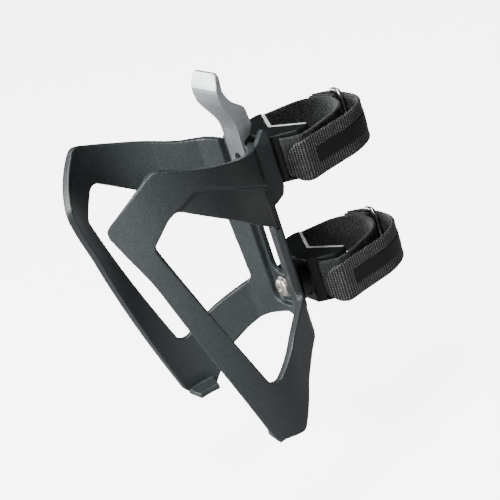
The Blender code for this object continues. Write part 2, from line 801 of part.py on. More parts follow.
def offsetPath(points, distance):
    """The same path moved sideways: positive is to the left of its direction."""
    pts = np.array(points)
    ahead = np.gradient(pts, axis=0)
    ahead /= np.linalg.norm(ahead, axis=1)[:, None]
    side = np.stack([-ahead[:, 1], ahead[:, 0]], axis=1)
    return [tuple(p) for p in pts + side * distance]


def stripLoop(u0, u1, half, radius):
    """A strip's flat outline, rounded at its u1 end."""
    s = 1 / mm
    corners = [(u0 * s, -half * s, 0), (u1 * s, -half * s, radius * s),
               (u1 * s, half * s, radius * s), (u0 * s, half * s, 0)]
    return [(u * mm, v * mm) for u, v in roundCorners(corners)]


def innerCreases(run, u0, u1):
    return [u for u in run if u0 + 0.0001 < u < u1 - 0.0001]


def buildTail(which, coll, mats, pivot):
    z = boltZ[which]
    path = tailPath()
    place, total, run = onPath(path, z, tailDrop)
    half = strapWidth / 2
    tail = rolled(which + "_strap_tail", [stripLoop(0.0, total, half, half * 0.62)], place,
                  innerCreases(run, 0.0, total), strapThickness, coll, mats["webbing"])
    # a smooth stripe down the middle of the outer face
    out = strapThickness / 2 + gap * 0.5 + stripeThickness / 2
    placeOut, totalOut, runOut = onPath(offsetPath(path, out), z, tailDrop)
    a, b = totalOut * 0.2, totalOut * 0.8
    stripe = rolled(which + "_tail_stripe", [stripLoop(a, b, stripeHalf, 0.4 * mm)],
                    placeOut, innerCreases(runOut, a, b), stripeThickness, coll, mats["stripe"])
    # the hook patch behind the free end
    inner = strapThickness / 2 + gap * 0.5 + patchThickness / 2
    placeIn, totalIn, runIn = onPath(offsetPath(path, -inner), z, tailDrop)
    a, b = totalIn - patchLength, totalIn - 1.2 * mm
    patch = rolled(which + "_hook_patch", [stripLoop(a, b, half - 1.4 * mm, half * 0.5)],
                   placeIn, innerCreases(runIn, a, b), patchThickness, coll, mats["hook"])
    for ob in (tail, stripe, patch):
        bake(ob)
        fixNormals(ob)
        shade(ob, 40.0)
        hang(ob, pivot)
    return tail, stripe, patch


def buildFold(which, coll, mat):
    """The strap's sewn end: in under the ring's second bar, round it and back."""
    bar = barPlace(second=True)
    step = math.degrees(ringSpan / barRadius)
    at = ringBarAngle - step
    r = ringWire + gap + strapThickness / 2
    low = barRadius - r
    high = barRadius + r
    legs = np.linspace(0.0, 1.0, 8)
    inner = [aroundPost(at - 30.0 * (1 - t), low + 0.15 * mm) for t in legs]
    start = math.atan2(*(-(bar / np.linalg.norm(bar)))[::-1])
    turn = [bar + r * np.array([math.cos(start + a), math.sin(start + a)])
            for a in np.radians(np.linspace(15.0, 165.0, 8))]
    sewn = low + strapThickness + gap + 0.3 * mm
    outer = [aroundPost(at - 27.0 * t, high + (sewn - high) * (3 * t * t - 2 * t ** 3))
             for t in legs]
    path = [tuple(p) for p in inner] + [tuple(p) for p in turn] + [tuple(p) for p in outer]
    place, total, run = onPath(path, boltZ[which])
    half = strapWidth / 2
    fold = rolled(which + "_strap_fold", [stripLoop(0.0, total, half, 0.4 * mm)], place,
                  innerCreases(run, 0.0, total), strapThickness, coll, mat)
    bake(fold)
    fixNormals(fold)
    shade(fold, 40.0)
    return fold


def buildRing(which, coll, mat):
    """A rounded wire rectangle, its two bars upright behind the post."""
    one, two = barPlace(), barPlace(second=True)
    mid = (one + two) / 2
    along = (two - one) / np.linalg.norm(two - one)
    half = np.linalg.norm(two - one) / 2 / mm
    high = (strapWidth / 2 + gap + ringWire + 0.4 * mm) / mm
    flat = roundCorners([(-half, -high, 2.8), (half, -high, 2.8), (half, high, 2.8),
                         (-half, high, 2.8)], turn=22.5)
    curve = bpy.data.curves.new(which + "_ring", "CURVE")
    curve.dimensions = "3D"
    curve.bevel_depth = ringWire
    curve.bevel_resolution = 2
    curve.use_fill_caps = True
    spline = curve.splines.new("POLY")
    spline.points.add(len(flat) - 1)
    for point, (u, v) in zip(spline.points, flat):
        xy = mid + along * u * mm
        point.co = (xy[0], xy[1], boltZ[which] + v * mm, 1.0)
    spline.use_cyclic_u = True
    temp = bpy.data.objects.new("wire", curve)
    bpy.context.scene.collection.objects.link(temp)
    mesh = evaluated(temp)
    bpy.data.objects.remove(temp, do_unlink=True)
    ring = addObject(which + "_ring", mesh, coll, mat)
    bake(ring)
    fixNormals(ring)
    shade(ring, 60.0)
    return ring


# ---------------------------------------------------------------- assembly

clearScene()
cutters = newCollection("cutters")
parts = newCollection("water_bottle_cage")

black = material("cage_plastic", (0.052, 0.062, 0.062), 0.46)
silver = material("tongue_metal", (0.56, 0.58, 0.6), 0.34, 0.85)
steel = material("bolt_steel", (0.68, 0.68, 0.7), 0.24, 1.0)
washerMat = material("washer_steel", (0.6, 0.6, 0.62), 0.32, 1.0)
adapterMat = material("adapter_plastic", (0.02, 0.024, 0.024), 0.55)
brass = material("insert_brass", (0.72, 0.52, 0.22), 0.3, 1.0)
padMat = material("pad_rubber", (0.62, 0.64, 0.65), 0.7)
webbing = material("strap_webbing", (0.014, 0.015, 0.016), 0.9)
tailMat = material("tail_webbing", (0.018, 0.019, 0.02), 0.88)
stripeMat = material("stripe_print", (0.006, 0.006, 0.007), 0.5)
hookMat = material("hook_tape", (0.02, 0.02, 0.022), 0.8)
wireMat = material("ring_wire", (0.5, 0.51, 0.53), 0.25, 1.0)

buildCage(parts, black)
tonguePivot = pivotEmpty("tongue_pivot",
                         (0.0, fromBottle(floorFront - gap - tongueSheet / 2), boltZ["upper"]),
                         parts)
buildTongue(parts, silver, tonguePivot)

seatUpper = fromBottle(floorFront - gap - tongueSheet - gap - washerThickness - gap)
seatLower = fromBottle(floorFront - gap - washerThickness - gap)
buildBolt("upper_screw", boltZ["upper"], seatUpper, parts, steel)
buildBolt("lower_screw", boltZ["lower"], seatLower, parts, steel)
buildWasher("upper_washer", boltZ["upper"], seatUpper + gap + washerThickness, parts, washerMat)
buildWasher("lower_washer", boltZ["lower"], seatLower + gap + washerThickness, parts, washerMat)

for which in ("upper", "lower"):
    swivel = pivotEmpty(which + "_swivel", (0.0, fromBottle(bossFront), boltZ[which]), parts)
    hinge = pivotEmpty(which + "_tail_pivot", (*barPlace(), boltZ[which]), parts)
    hang(hinge, swivel)
    bpy.context.view_layer.update()
    pieces = [buildAdapter(which, parts, adapterMat), buildInsert(which, parts, brass),
              buildPad(which, parts, padMat), buildLoop(which, parts, webbing),
              buildFold(which, parts, webbing), buildRing(which, parts, wireMat)]
    for piece in pieces:
        hang(piece, swivel)
    buildTail(which, parts, {"webbing": tailMat, "stripe": stripeMat, "hook": hookMat}, hinge)

bpy.context.view_layer.update()
print("bar of the ring at", [round(float(v), 5) for v in barPlace()])
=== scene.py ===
import json
import math

import bmesh
import bpy
import numpy as np
from mathutils import Matrix, Vector


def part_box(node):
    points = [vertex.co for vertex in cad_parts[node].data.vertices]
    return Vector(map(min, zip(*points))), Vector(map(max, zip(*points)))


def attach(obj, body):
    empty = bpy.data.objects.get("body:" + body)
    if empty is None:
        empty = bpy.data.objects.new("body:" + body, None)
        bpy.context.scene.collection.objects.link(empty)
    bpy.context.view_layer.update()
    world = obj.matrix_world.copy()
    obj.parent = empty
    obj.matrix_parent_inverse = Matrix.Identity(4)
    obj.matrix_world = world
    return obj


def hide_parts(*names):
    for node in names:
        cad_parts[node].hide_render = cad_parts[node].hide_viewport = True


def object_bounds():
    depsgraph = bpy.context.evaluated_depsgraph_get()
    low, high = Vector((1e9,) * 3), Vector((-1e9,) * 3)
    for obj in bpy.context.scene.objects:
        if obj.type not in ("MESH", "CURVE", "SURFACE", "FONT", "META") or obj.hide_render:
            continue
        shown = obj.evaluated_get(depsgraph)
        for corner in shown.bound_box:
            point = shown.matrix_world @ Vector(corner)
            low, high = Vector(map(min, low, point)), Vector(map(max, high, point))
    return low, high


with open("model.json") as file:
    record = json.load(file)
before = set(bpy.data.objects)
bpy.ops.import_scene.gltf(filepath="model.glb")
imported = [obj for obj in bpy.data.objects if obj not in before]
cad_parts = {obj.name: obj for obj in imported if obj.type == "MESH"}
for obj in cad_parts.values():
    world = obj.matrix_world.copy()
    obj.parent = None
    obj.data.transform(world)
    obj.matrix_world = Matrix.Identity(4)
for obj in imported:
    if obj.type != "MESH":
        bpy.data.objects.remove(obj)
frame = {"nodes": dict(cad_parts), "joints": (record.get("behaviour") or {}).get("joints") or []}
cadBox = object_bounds()
nodes = frame["nodes"]
joints = {joint["name"]: joint for joint in frame["joints"]}
mm = 0.001
sides = ("upper", "lower")


# shader helpers

def newGroup(name, inputs, outputs):
    group = bpy.data.node_groups.new(name, "ShaderNodeTree")
    for label, kind, value in inputs:
        socket = group.interface.new_socket(label, in_out="INPUT", socket_type=kind)
        if value is not None:
            socket.default_value = value
    for label, kind in outputs:
        group.interface.new_socket(label, in_out="OUTPUT", socket_type=kind)
    return group, group.nodes.new("NodeGroupInput"), group.nodes.new("NodeGroupOutput")


def put(tree, kind, inputs, **settings):
    # adds a node, sets its options, then links or fills its inputs
    made = tree.nodes.new(kind)
    for key, value in settings.items():
        setattr(made, key, value)
    for key, value in inputs.items():
        if isinstance(value, bpy.types.NodeSocket):
            tree.links.new(value, made.inputs[key])
        else:
            made.inputs[key].default_value = value
    return made


def sums(tree, operation, a, b=None):
    # one Math node
    made = tree.nodes.new("ShaderNodeMath")
    made.operation = operation
    for slot, value in zip(made.inputs, (a, b)):
        if isinstance(value, bpy.types.NodeSocket):
            tree.links.new(value, slot)
        elif value is not None:
            slot.default_value = value
    return made.outputs[0]


def useGroup(tree, group, **inputs):
    # places a shared effect with its own values
    made = tree.nodes.new("ShaderNodeGroup")
    made.node_tree = group
    for key, value in inputs.items():
        if isinstance(value, bpy.types.NodeSocket):
            tree.links.new(value, made.inputs[key])
        else:
            made.inputs[key].default_value = value
    return made


def spread(tree, value, low, high, start=0.0, end=1.0):
    # maps a value from start..end to low..high, held at both ends
    made = put(tree, "ShaderNodeMapRange", {"Value": value, "From Min": start, "From Max": end,
                                            "To Min": low, "To Max": high})
    return made.outputs["Result"]


def blendColour(tree, amount, first, second):
    # one Mix node: its sockets 0, 6 and 7 are the factor and the two colours
    made = tree.nodes.new("ShaderNodeMix")
    made.data_type = "RGBA"
    for slot, value in ((made.inputs[0], amount), (made.inputs[6], first),
                        (made.inputs[7], second)):
        if isinstance(value, bpy.types.NodeSocket):
            tree.links.new(value, slot)
        else:
            slot.default_value = (*value, 1.0) if isinstance(value, tuple) else value
    return made.outputs[2]


# shared effects

def makeGrain():
    # fine moulded texture: pits of one size over slow waves of another. Height is
    # pits + waves * share, and Speckle is where the pits lie
    group, given, out = newGroup(
        "mouldedGrain",
        [("Vector", "NodeSocketVector", None), ("Size", "NodeSocketFloat", 0.0003),
         ("Waves", "NodeSocketFloat", 0.25)],
        [("Height", "NodeSocketFloat"), ("Speckle", "NodeSocketFloat")])
    scale = sums(group, "DIVIDE", 1.0, given.outputs["Size"])
    pits = put(group, "ShaderNodeTexNoise", {"Vector": given.outputs["Vector"], "Scale": scale,
                                             "Detail": 2.5, "Roughness": 0.55})
    wide = put(group, "ShaderNodeTexNoise", {"Vector": given.outputs["Vector"], "Scale": 90.0,
                                             "Detail": 3.0})
    slow = sums(group, "MULTIPLY", wide.outputs["Fac"], given.outputs["Waves"])
    group.links.new(sums(group, "ADD", pits.outputs["Fac"], slow), out.inputs["Height"])
    group.links.new(spread(group, pits.outputs["Fac"], 0.0, 1.0, 0.35, 0.68),
                    out.inputs["Speckle"])
    return group


def makeEdgeWearAndHighlight():
    # rubbed edges with a painted highlight: a mask on sharp outer edges, broken up by noise, that
    # lightens them as wear and as painted edge highlight
    group, given, out = newGroup(
        "rubbedEdges",
        [("Vector", "NodeSocketVector", None), ("Start", "NodeSocketFloat", 0.52),
         ("End", "NodeSocketFloat", 0.58), ("Patch", "NodeSocketFloat", 0.006)],
        [("Mask", "NodeSocketFloat")])
    shape = group.nodes.new("ShaderNodeNewGeometry")
    edge = put(group, "ShaderNodeMapRange",
               {"Value": shape.outputs["Pointiness"], "From Min": given.outputs["Start"],
                "From Max": given.outputs["End"], "To Min": 0.0, "To Max": 1.0})
    scale = sums(group, "DIVIDE", 1.0, given.outputs["Patch"])
    broken = put(group, "ShaderNodeTexNoise", {"Vector": given.outputs["Vector"],
                                               "Scale": scale, "Detail": 4.0})
    kept = spread(group, broken.outputs["Fac"], 0.35, 1.0, 0.38, 0.62)
    group.links.new(sums(group, "MULTIPLY", edge.outputs["Result"], kept), out.inputs["Mask"])
    return group


def makeDust():
    # settled dust and finger marks: slow patches with a fine scatter on top
    group, given, out = newGroup(
        "dustAndMarks",
        [("Vector", "NodeSocketVector", None), ("Patch", "NodeSocketFloat", 0.02)],
        [("Mask", "NodeSocketFloat")])
    scale = sums(group, "DIVIDE", 1.0, given.outputs["Patch"])
    patches = put(group, "ShaderNodeTexNoise", {"Vector": given.outputs["Vector"],
                                                "Scale": scale, "Detail": 5.0})
    specks = put(group, "ShaderNodeTexNoise", {"Vector": given.outputs["Vector"],
                                               "Scale": 1800.0, "Detail": 1.0})
    slow = spread(group, patches.outputs["Fac"], 0.0, 1.0, 0.42, 0.66)
    fine = spread(group, specks.outputs["Fac"], 0.0, 1.0, 0.5, 0.72)
    group.links.new(sums(group, "MULTIPLY", slow, sums(group, "ADD", fine, 0.35)),
                    out.inputs["Mask"])
    return group


def makeKnit():
    # ribbed knit on a strip's own UV, in millimetres: ribs across, stitches down each rib
    group, given, out = newGroup(
        "ribbedKnit",
        [("UV", "NodeSocketVector", None), ("Rib", "NodeSocketFloat", 1.25),
         ("Stitch", "NodeSocketFloat", 0.8)],
        [("Height", "NodeSocketFloat"), ("Glint", "NodeSocketFloat")])
    parts = put(group, "ShaderNodeSeparateXYZ", {"Vector": given.outputs["UV"]})
    along = sums(group, "DIVIDE", parts.outputs["X"], given.outputs["Rib"])
    across = sums(group, "DIVIDE", parts.outputs["Y"], given.outputs["Stitch"])
    row = sums(group, "FLOOR", along)
    stagger = sums(group, "MULTIPLY", row, 0.5)
    ribWave = sums(group, "ABSOLUTE", sums(group, "SINE", sums(group, "MULTIPLY", along, math.pi)))
    phase = sums(group, "MULTIPLY", sums(group, "ADD", across, stagger), math.pi)
    stitchWave = sums(group, "ABSOLUTE", sums(group, "SINE", phase))
    height = sums(group, "MULTIPLY", ribWave, sums(group, "ADD", stitchWave, 0.4))
    group.links.new(height, out.inputs["Height"])
    frays = put(group, "ShaderNodeTexNoise", {"Vector": given.outputs["UV"], "Scale": 3.0,
                                              "Detail": 3.0})
    # Glint lightens the stitch tops in the colour: a painted highlight
    bright = spread(group, height, 0.0, 1.0, 0.72, 1.25)
    group.links.new(sums(group, "MULTIPLY", bright, spread(group, frays.outputs["Fac"],
                                                          0.0, 1.0, 0.4, 0.6)),
                    out.inputs["Glint"])
    return group


def makeBrushing():
    # fine lines drawn out along one axis, for rolled and turned metal
    group, given, out = newGroup(
        "brushedLines",
        [("Vector", "NodeSocketVector", None), ("Stretch", "NodeSocketVector", (1, 1, 0.03)),
         ("Size", "NodeSocketFloat", 0.00025)],
        [("Height", "NodeSocketFloat"), ("Shade", "NodeSocketFloat")])
    stretched = put(group, "ShaderNodeVectorMath", {0: given.outputs["Vector"],
                                                    1: given.outputs["Stretch"]},
                    operation="MULTIPLY")
    scale = sums(group, "DIVIDE", 1.0, given.outputs["Size"])
    lines = put(group, "ShaderNodeTexNoise", {"Vector": stretched.outputs[0], "Scale": scale,
                                              "Detail": 3.0})
    group.links.new(lines.outputs["Fac"], out.inputs["Height"])
    group.links.new(spread(group, lines.outputs["Fac"], 0.0, 1.0, 0.3, 0.7),
                    out.inputs["Shade"])
    return group


grain, rubbedEdges, dust = makeGrain(), makeEdgeWearAndHighlight(), makeDust()
knit, brushed = makeKnit(), makeBrushing()


# finishes

def startFinish(name, by="Object", metallic=0.0, **sockets):
    # a Principled shader with its plain sockets set, and the coordinates it is read by
    finish = bpy.data.materials.new(name)
    finish.use_nodes = True
    tree = finish.node_tree
    shader = tree.nodes["Principled BSDF"]
    shader.inputs["Metallic"].default_value = metallic
    for key, value in sockets.items():
        shader.inputs[key.replace("_", " ")].default_value = value
    return finish, tree, shader, tree.nodes.new("ShaderNodeTexCoord").outputs[by]


def bumped(tree, shader, height, distance, strength):
    bump = put(tree, "ShaderNodeBump", {"Height": height, "Distance": distance,
                                        "Strength": strength})
    tree.links.new(bump.outputs["Normal"], shader.inputs["Normal"])


# the worn colour lightens sharp edges: rubbed wear and a painted edge highlight
plasticLook = {"dark": (0.013, 0.0175, 0.0185), "light": (0.046, 0.056, 0.058),
               "worn": (0.085, 0.098, 0.1), "dusty": (0.12, 0.13, 0.13),
               "shine": 0.55, "gloss": (0.33, 0.5), "grain": 0.4 * mm, "waves": 0.3,
               "depth": 0.05 * mm, "bump": 0.55, "edge": (0.53, 0.62), "edgePatch": 4 * mm,
               "edgeShare": 0.55, "dustPatch": 22 * mm, "dustShare": 0.07, "dustDull": 0.1}
adapterLook = {"dark": (0.0045, 0.006, 0.006), "light": (0.009, 0.0115, 0.0115),
               "worn": (0.055, 0.06, 0.06), "shine": 0.32, "gloss": (0.3, 0.42),
               "grain": 0.22 * mm, "waves": 0.2, "depth": 0.02 * mm, "bump": 0.45,
               "edge": (0.53, 0.64), "edgePatch": 3 * mm, "edgeShare": 0.5}


def mouldedPlastic(name, look):
    # grain under rubbed edges lightened as wear and painted highlight, with dust where the look has a
    # dusty colour
    finish, tree, shader, at = startFinish(name, Specular_IOR_Level=look["shine"])
    skin = useGroup(tree, grain, Vector=at, Size=look["grain"], Waves=look["waves"])
    wearAndHighlight = useGroup(tree, rubbedEdges, Vector=at, Start=look["edge"][0], End=look["edge"][1],
                    Patch=look["edgePatch"])
    base = blendColour(tree, skin.outputs["Speckle"], look["dark"], look["light"])
    # edges lightened towards the worn colour: rubbed wear and a painted edge highlight
    colour = blendColour(tree, sums(tree, "MULTIPLY", wearAndHighlight.outputs["Mask"], look["edgeShare"]),
                         base, look["worn"])
    rough = spread(tree, skin.outputs["Speckle"], *look["gloss"])
    if "dusty" in look:
        marks = useGroup(tree, dust, Vector=at, Patch=look["dustPatch"])
        colour = blendColour(tree, sums(tree, "MULTIPLY", marks.outputs["Mask"],
                                        look["dustShare"]), colour, look["dusty"])
        dull = sums(tree, "MULTIPLY", marks.outputs["Mask"], look["dustDull"])
        rough = sums(tree, "ADD", rough, dull)
    tree.links.new(colour, shader.inputs["Base Color"])
    tree.links.new(rough, shader.inputs["Roughness"])
    bumped(tree, shader, skin.outputs["Height"], look["depth"], look["bump"])
    return finish


# the worn colour lightens sharp edges: rubbed wear and a painted edge highlight
tongueLook = {"base": (0.4, 0.425, 0.44), "streak": (0.53, 0.555, 0.57),
              "worn": (0.78, 0.8, 0.81), "metallic": 0.82, "gloss": (0.3, 0.42),
              "stretch": (1.0, 1.0, 0.04), "line": 0.22 * mm, "edge": (0.54, 0.64),
              "edgePatch": 2.5 * mm, "dustPatch": 7 * mm, "dustShare": 0.12,
              "depth": 0.012 * mm, "bump": 0.6}


def lookOfTurned(base, bright, rough):
    # screws, washers, inserts and ring wire: turned or drawn, with rubbed edges lightened as wear and
    # painted highlight
    return {"base": base, "streak": bright, "worn": tuple(min(1.0, c * 1.25) for c in bright),
            "metallic": 1.0, "gloss": (rough, rough + 0.08), "stretch": (1.0, 0.2, 1.0),
            "line": 0.18 * mm, "edge": (0.54, 0.66), "edgePatch": 1.5 * mm,
            "dustPatch": 3 * mm, "dustShare": 0.15, "depth": 0.004 * mm, "bump": 0.3}


def linedMetal(name, look):
    # fine drawn lines under rubbed edges lightened as wear and painted highlight, dulled by marks
    finish, tree, shader, at = startFinish(name, metallic=look["metallic"])
    lines = useGroup(tree, brushed, Vector=at, Stretch=look["stretch"], Size=look["line"])
    marks = useGroup(tree, dust, Vector=at, Patch=look["dustPatch"])
    wearAndHighlight = useGroup(tree, rubbedEdges, Vector=at, Start=look["edge"][0], End=look["edge"][1],
                    Patch=look["edgePatch"])
    tone = blendColour(tree, lines.outputs["Shade"], look["base"], look["streak"])
    # edges lightened towards the worn colour: rubbed wear and a painted edge highlight
    tree.links.new(blendColour(tree, wearAndHighlight.outputs["Mask"], tone, look["worn"]),
                   shader.inputs["Base Color"])
    rough = spread(tree, lines.outputs["Shade"], *look["gloss"])
    marked = sums(tree, "MULTIPLY", marks.outputs["Mask"], look["dustShare"])
    tree.links.new(sums(tree, "ADD", rough, marked), shader.inputs["Roughness"])
    bumped(tree, shader, lines.outputs["Height"], look["depth"], look["bump"])
    return finish


padLook = {"dark": (0.6, 0.62, 0.62), "light": (0.72, 0.735, 0.74), "soiled": (0.33, 0.34, 0.34),
           "grain": 0.4 * mm, "waves": 0.5, "dustPatch": 5 * mm, "dustShare": 0.35}


def padRubber():
    look = padLook
    finish, tree, shader, at = startFinish("padRubber", Specular_IOR_Level=0.4)
    skin = useGroup(tree, grain, Vector=at, Size=look["grain"], Waves=look["waves"])
    marks = useGroup(tree, dust, Vector=at, Patch=look["dustPatch"])
    base = blendColour(tree, skin.outputs["Speckle"], look["dark"], look["light"])
    dirt = sums(tree, "MULTIPLY", marks.outputs["Mask"], look["dustShare"])
    tree.links.new(blendColour(tree, dirt, base, look["soiled"]), shader.inputs["Base Color"])
    tree.links.new(spread(tree, skin.outputs["Speckle"], 0.55, 0.7), shader.inputs["Roughness"])
    bumped(tree, shader, skin.outputs["Height"], 0.03 * mm, 0.4)
    return finish


def loopPile():
    # brushed nylon pile: matted curls, lighter where they stand up, a painted highlight on the raised
    # pile
    finish, tree, shader, at = startFinish("loopPile", Specular_IOR_Level=0.25,
                                           Sheen_Weight=0.25, Sheen_Roughness=0.4)
    curls = put(tree, "ShaderNodeTexVoronoi", {"Vector": at, "Scale": 2600.0})
    mat = put(tree, "ShaderNodeTexNoise", {"Vector": at, "Scale": 1500.0, "Detail": 4.0,
                                           "Distortion": 1.2})
    lifted = sums(tree, "MULTIPLY", curls.outputs["Distance"], mat.outputs["Fac"])
    # lighter where the pile is raised: a painted highlight
    tone = spread(tree, lifted, 0.0, 1.0, 0.16, 0.42)
    tree.links.new(blendColour(tree, tone, (0.002, 0.0024, 0.0024), (0.07, 0.075, 0.076)),
                   shader.inputs["Base Color"])
    tree.links.new(spread(tree, mat.outputs["Fac"], 0.75, 0.95), shader.inputs["Roughness"])
    bumped(tree, shader, lifted, 0.12 * mm, 0.7)
    return finish


knitLook = {"rib": 1.25 * mm, "stitch": 0.9 * mm, "height": 0.24 * mm, "selvedge": 1.1 * mm,
            "selvedgeWidth": 0.45 * mm, "bed": -0.7, "bedMargin": 0.15 * mm}


def knitWebbing():
    finish, tree, shader, at = startFinish("knitWebbing", by="UV", Specular_IOR_Level=0.4,
                                           Sheen_Weight=0.2, Sheen_Roughness=0.35)
    pattern = useGroup(tree, knit, UV=at, Rib=knitLook["rib"] / mm, Stitch=knitLook["stitch"] / mm)
    threads = put(tree, "ShaderNodeTexNoise", {"Vector": at, "Scale": 7.0, "Detail": 4.0})
    # base colour lightened on the stitch tops by Glint: a painted highlight
    tree.links.new(blendColour(tree, pattern.outputs["Glint"], (0.0015, 0.0017, 0.0018),
                               (0.3, 0.315, 0.32)), shader.inputs["Base Color"])
    tree.links.new(spread(tree, threads.outputs["Fac"], 0.38, 0.62), shader.inputs["Roughness"])
    bumped(tree, shader, threads.outputs["Fac"], 0.06 * mm, 0.5)
    return finish


def smoothStripe():
    # a smooth satin band: fine warp threads along its length
    finish, tree, shader, at = startFinish("smoothStripe", by="UV", Specular_IOR_Level=0.35)
    stretched = put(tree, "ShaderNodeMapping", {"Vector": at, "Scale": (0.6, 9.0, 1.0)})
    warp = put(tree, "ShaderNodeTexNoise", {"Vector": stretched.outputs["Vector"],
                                            "Scale": 1.0, "Detail": 3.0}).outputs["Fac"]
    tree.links.new(blendColour(tree, warp, (0.0015, 0.0015, 0.0018), (0.006, 0.0062, 0.0066)),
                   shader.inputs["Base Color"])
    tree.links.new(spread(tree, warp, 0.38, 0.6), shader.inputs["Roughness"])
    bumped(tree, shader, warp, 0.05 * mm, 0.6)
    return finish


def hookTape():
    finish, tree, shader, at = startFinish("hookTape", Specular_IOR_Level=0.45)
    tint = put(tree, "ShaderNodeTexNoise", {"Vector": at, "Scale": 700.0,
                                            "Detail": 2.0}).outputs["Fac"]
    tree.links.new(blendColour(tree, tint, (0.006, 0.006, 0.007), (0.02, 0.02, 0.022)),
                   shader.inputs["Base Color"])
    tree.links.new(spread(tree, tint, 0.35, 0.55), shader.inputs["Roughness"])
    bumped(tree, shader, tint, 0.03 * mm, 0.4)
    return finish


metals = {"tongue": ("tongueMetal", tongueLook),
          "screw": ("screwSteel", lookOfTurned((0.55, 0.52, 0.46), (0.74, 0.7, 0.62), 0.3)),
          "washer": ("washerSteel", lookOfTurned((0.42, 0.42, 0.43), (0.6, 0.6, 0.61), 0.3)),
          "insert": ("insertBrass", lookOfTurned((0.48, 0.33, 0.12), (0.7, 0.52, 0.24), 0.26)),
          "ring": ("ringSteel", lookOfTurned((0.34, 0.35, 0.36), (0.55, 0.56, 0.58), 0.22))}
finishes = {"cage": mouldedPlastic("cagePlastic", plasticLook),
            "adapter": mouldedPlastic("adapterPlastic", adapterLook),
            "pad": padRubber(), "pile": loopPile(), "knit": knitWebbing(),
            "stripe": smoothStripe(), "hooks": hookTape()}
finishes.update({key: linedMetal(*metal) for key, metal in metals.items()})
print("finishes made:", len(finishes))


# making surfaces

def applied(ob):
    # the object's mesh with its modifiers worked in
    graph = bpy.context.evaluated_depsgraph_get()
    mesh = bpy.data.meshes.new_from_object(ob.evaluated_get(graph), depsgraph=graph)
    ob.modifiers.clear()
    ob.data = mesh
    return ob


def addPiece(name, mesh, finish, body, stands=()):
    # an object that rides on a body and stands for the CAD nodes named
    ob = bpy.data.objects.new(name, mesh)
    bpy.context.scene.collection.objects.link(ob)
    mesh.materials.clear()
    mesh.materials.append(finishes[finish])
    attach(ob, body)
    if stands:
        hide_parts(*stands)
    return ob


def softNoise(points, size, seed):
    # value noise: a number from -1 to 1 mixed by large primes at each lattice corner, eased
    # between corners by 3t^2 - 2t^3
    cell = points / size
    base = np.floor(cell).astype(np.int64)
    part = cell - base
    part = part * part * (3.0 - 2.0 * part)
    total = np.zeros(points.shape[:-1])
    for corner in range(8):
        step = np.array([corner & 1, corner >> 1 & 1, corner >> 2 & 1])
        at = base + step
        mixed = at[..., 0] * 73856093 ^ at[..., 1] * 19349663 ^ at[..., 2] * 83492791 ^ seed * 7919
        mixed = (mixed ^ (mixed >> 13)) * 1274126177
        value = ((mixed >> 8) & 0xffff) / 32767.5 - 1.0
        total += value * np.prod(np.where(step == 1, part, 1.0 - part), axis=-1)
    return total


def smoothed(mesh):
    mesh.polygons.foreach_set("use_smooth", np.ones(len(mesh.polygons), bool))


def turnedOut(mesh):
    # smooth faces, all facing outwards
    smoothed(mesh)
    work = bmesh.new()
    work.from_mesh(mesh)
    bmesh.ops.recalc_face_normals(work, faces=work.faces)
    work.to_mesh(mesh)
    work.free()


def gridMesh(name, points, uv=None, closeRows=False):
    # points[i, j] is row i along the piece and column j round its section. Quads join
    # each row to the next, the columns close on themselves, and a cap is a fan
    rows, columns = points.shape[:2]
    i = np.arange(rows if closeRows else rows - 1)[:, None]
    j = np.arange(columns)[None, :]
    i2, j2 = (i + 1) % rows, (j + 1) % columns
    quads = np.stack([i * columns + j, i2 * columns + j, i2 * columns + j2,
                      i * columns + j2], -1).reshape(-1, 4)
    faces = quads.tolist()
    vertices = points.reshape(-1, 3)
    if not closeRows:
        middles = np.stack([points[0].mean(0), points[-1].mean(0)])
        vertices = np.concatenate([vertices, middles])
        ring = np.arange(columns)
        following = (ring + 1) % columns
        first, last = rows * columns, rows * columns + 1
        end = (rows - 1) * columns
        faces += np.stack([np.full(columns, first), ring, following], -1).tolist()
        faces += np.stack([end + ring, end + following, np.full(columns, last)], -1).tolist()
    mesh = bpy.data.meshes.new(name)
    mesh.from_pydata(vertices.tolist(), [], faces)
    if uv is not None:
        layer = mesh.uv_layers.new(name="UVMap")
        corners = np.stack([uv[i, j], uv[i + 1, j], uv[i + 1, j + 1], uv[i, j + 1]], 2)
        flat = corners.reshape(-1, 2)
        flat = np.concatenate([flat, np.zeros((len(mesh.loops) - len(flat), 2))])
        layer.data.foreach_set("uv", flat.ravel())
    turnedOut(mesh)
    return mesh


straight = math.radians(89.3)    # half a corner's angle past which it stays a corner


def roundedPath(corners, closed=False, step=4.0):
    # a polyline whose corners (x, y, radius) become arcs, a point every few degrees: the
    # arc's centre is the corner + bisector * radius / sin(half the corner's angle)
    pts = np.array([c[:2] for c in corners], float)
    count = len(pts)
    run = []
    for k in range(count):
        here, radius = pts[k], corners[k][2]
        if radius <= 0 or (not closed and k in (0, count - 1)):
            run.append(here[None])
            continue
        before, after = pts[k - 1] - here, pts[(k + 1) % count] - here
        before /= np.linalg.norm(before)
        after /= np.linalg.norm(after)
        half = math.acos(float(np.clip(before @ after, -1, 1))) / 2
        if half > straight:
            run.append(here[None])
            continue
        bisector = (before + after) / np.linalg.norm(before + after)
        centre = here + bisector * radius / math.sin(half)
        start = here + before * radius / math.tan(half) - centre
        sweep = math.pi - 2 * half
        turn = np.sign(start[0] * (here - centre)[1] - start[1] * (here - centre)[0])
        angles = turn * np.linspace(0, sweep, max(3, int(math.degrees(sweep) / step) + 1))
        run.append(centre + np.stack([start[0] * np.cos(angles) - start[1] * np.sin(angles),
                                      start[0] * np.sin(angles) + start[1] * np.cos(angles)], -1))
    return np.concatenate(run)


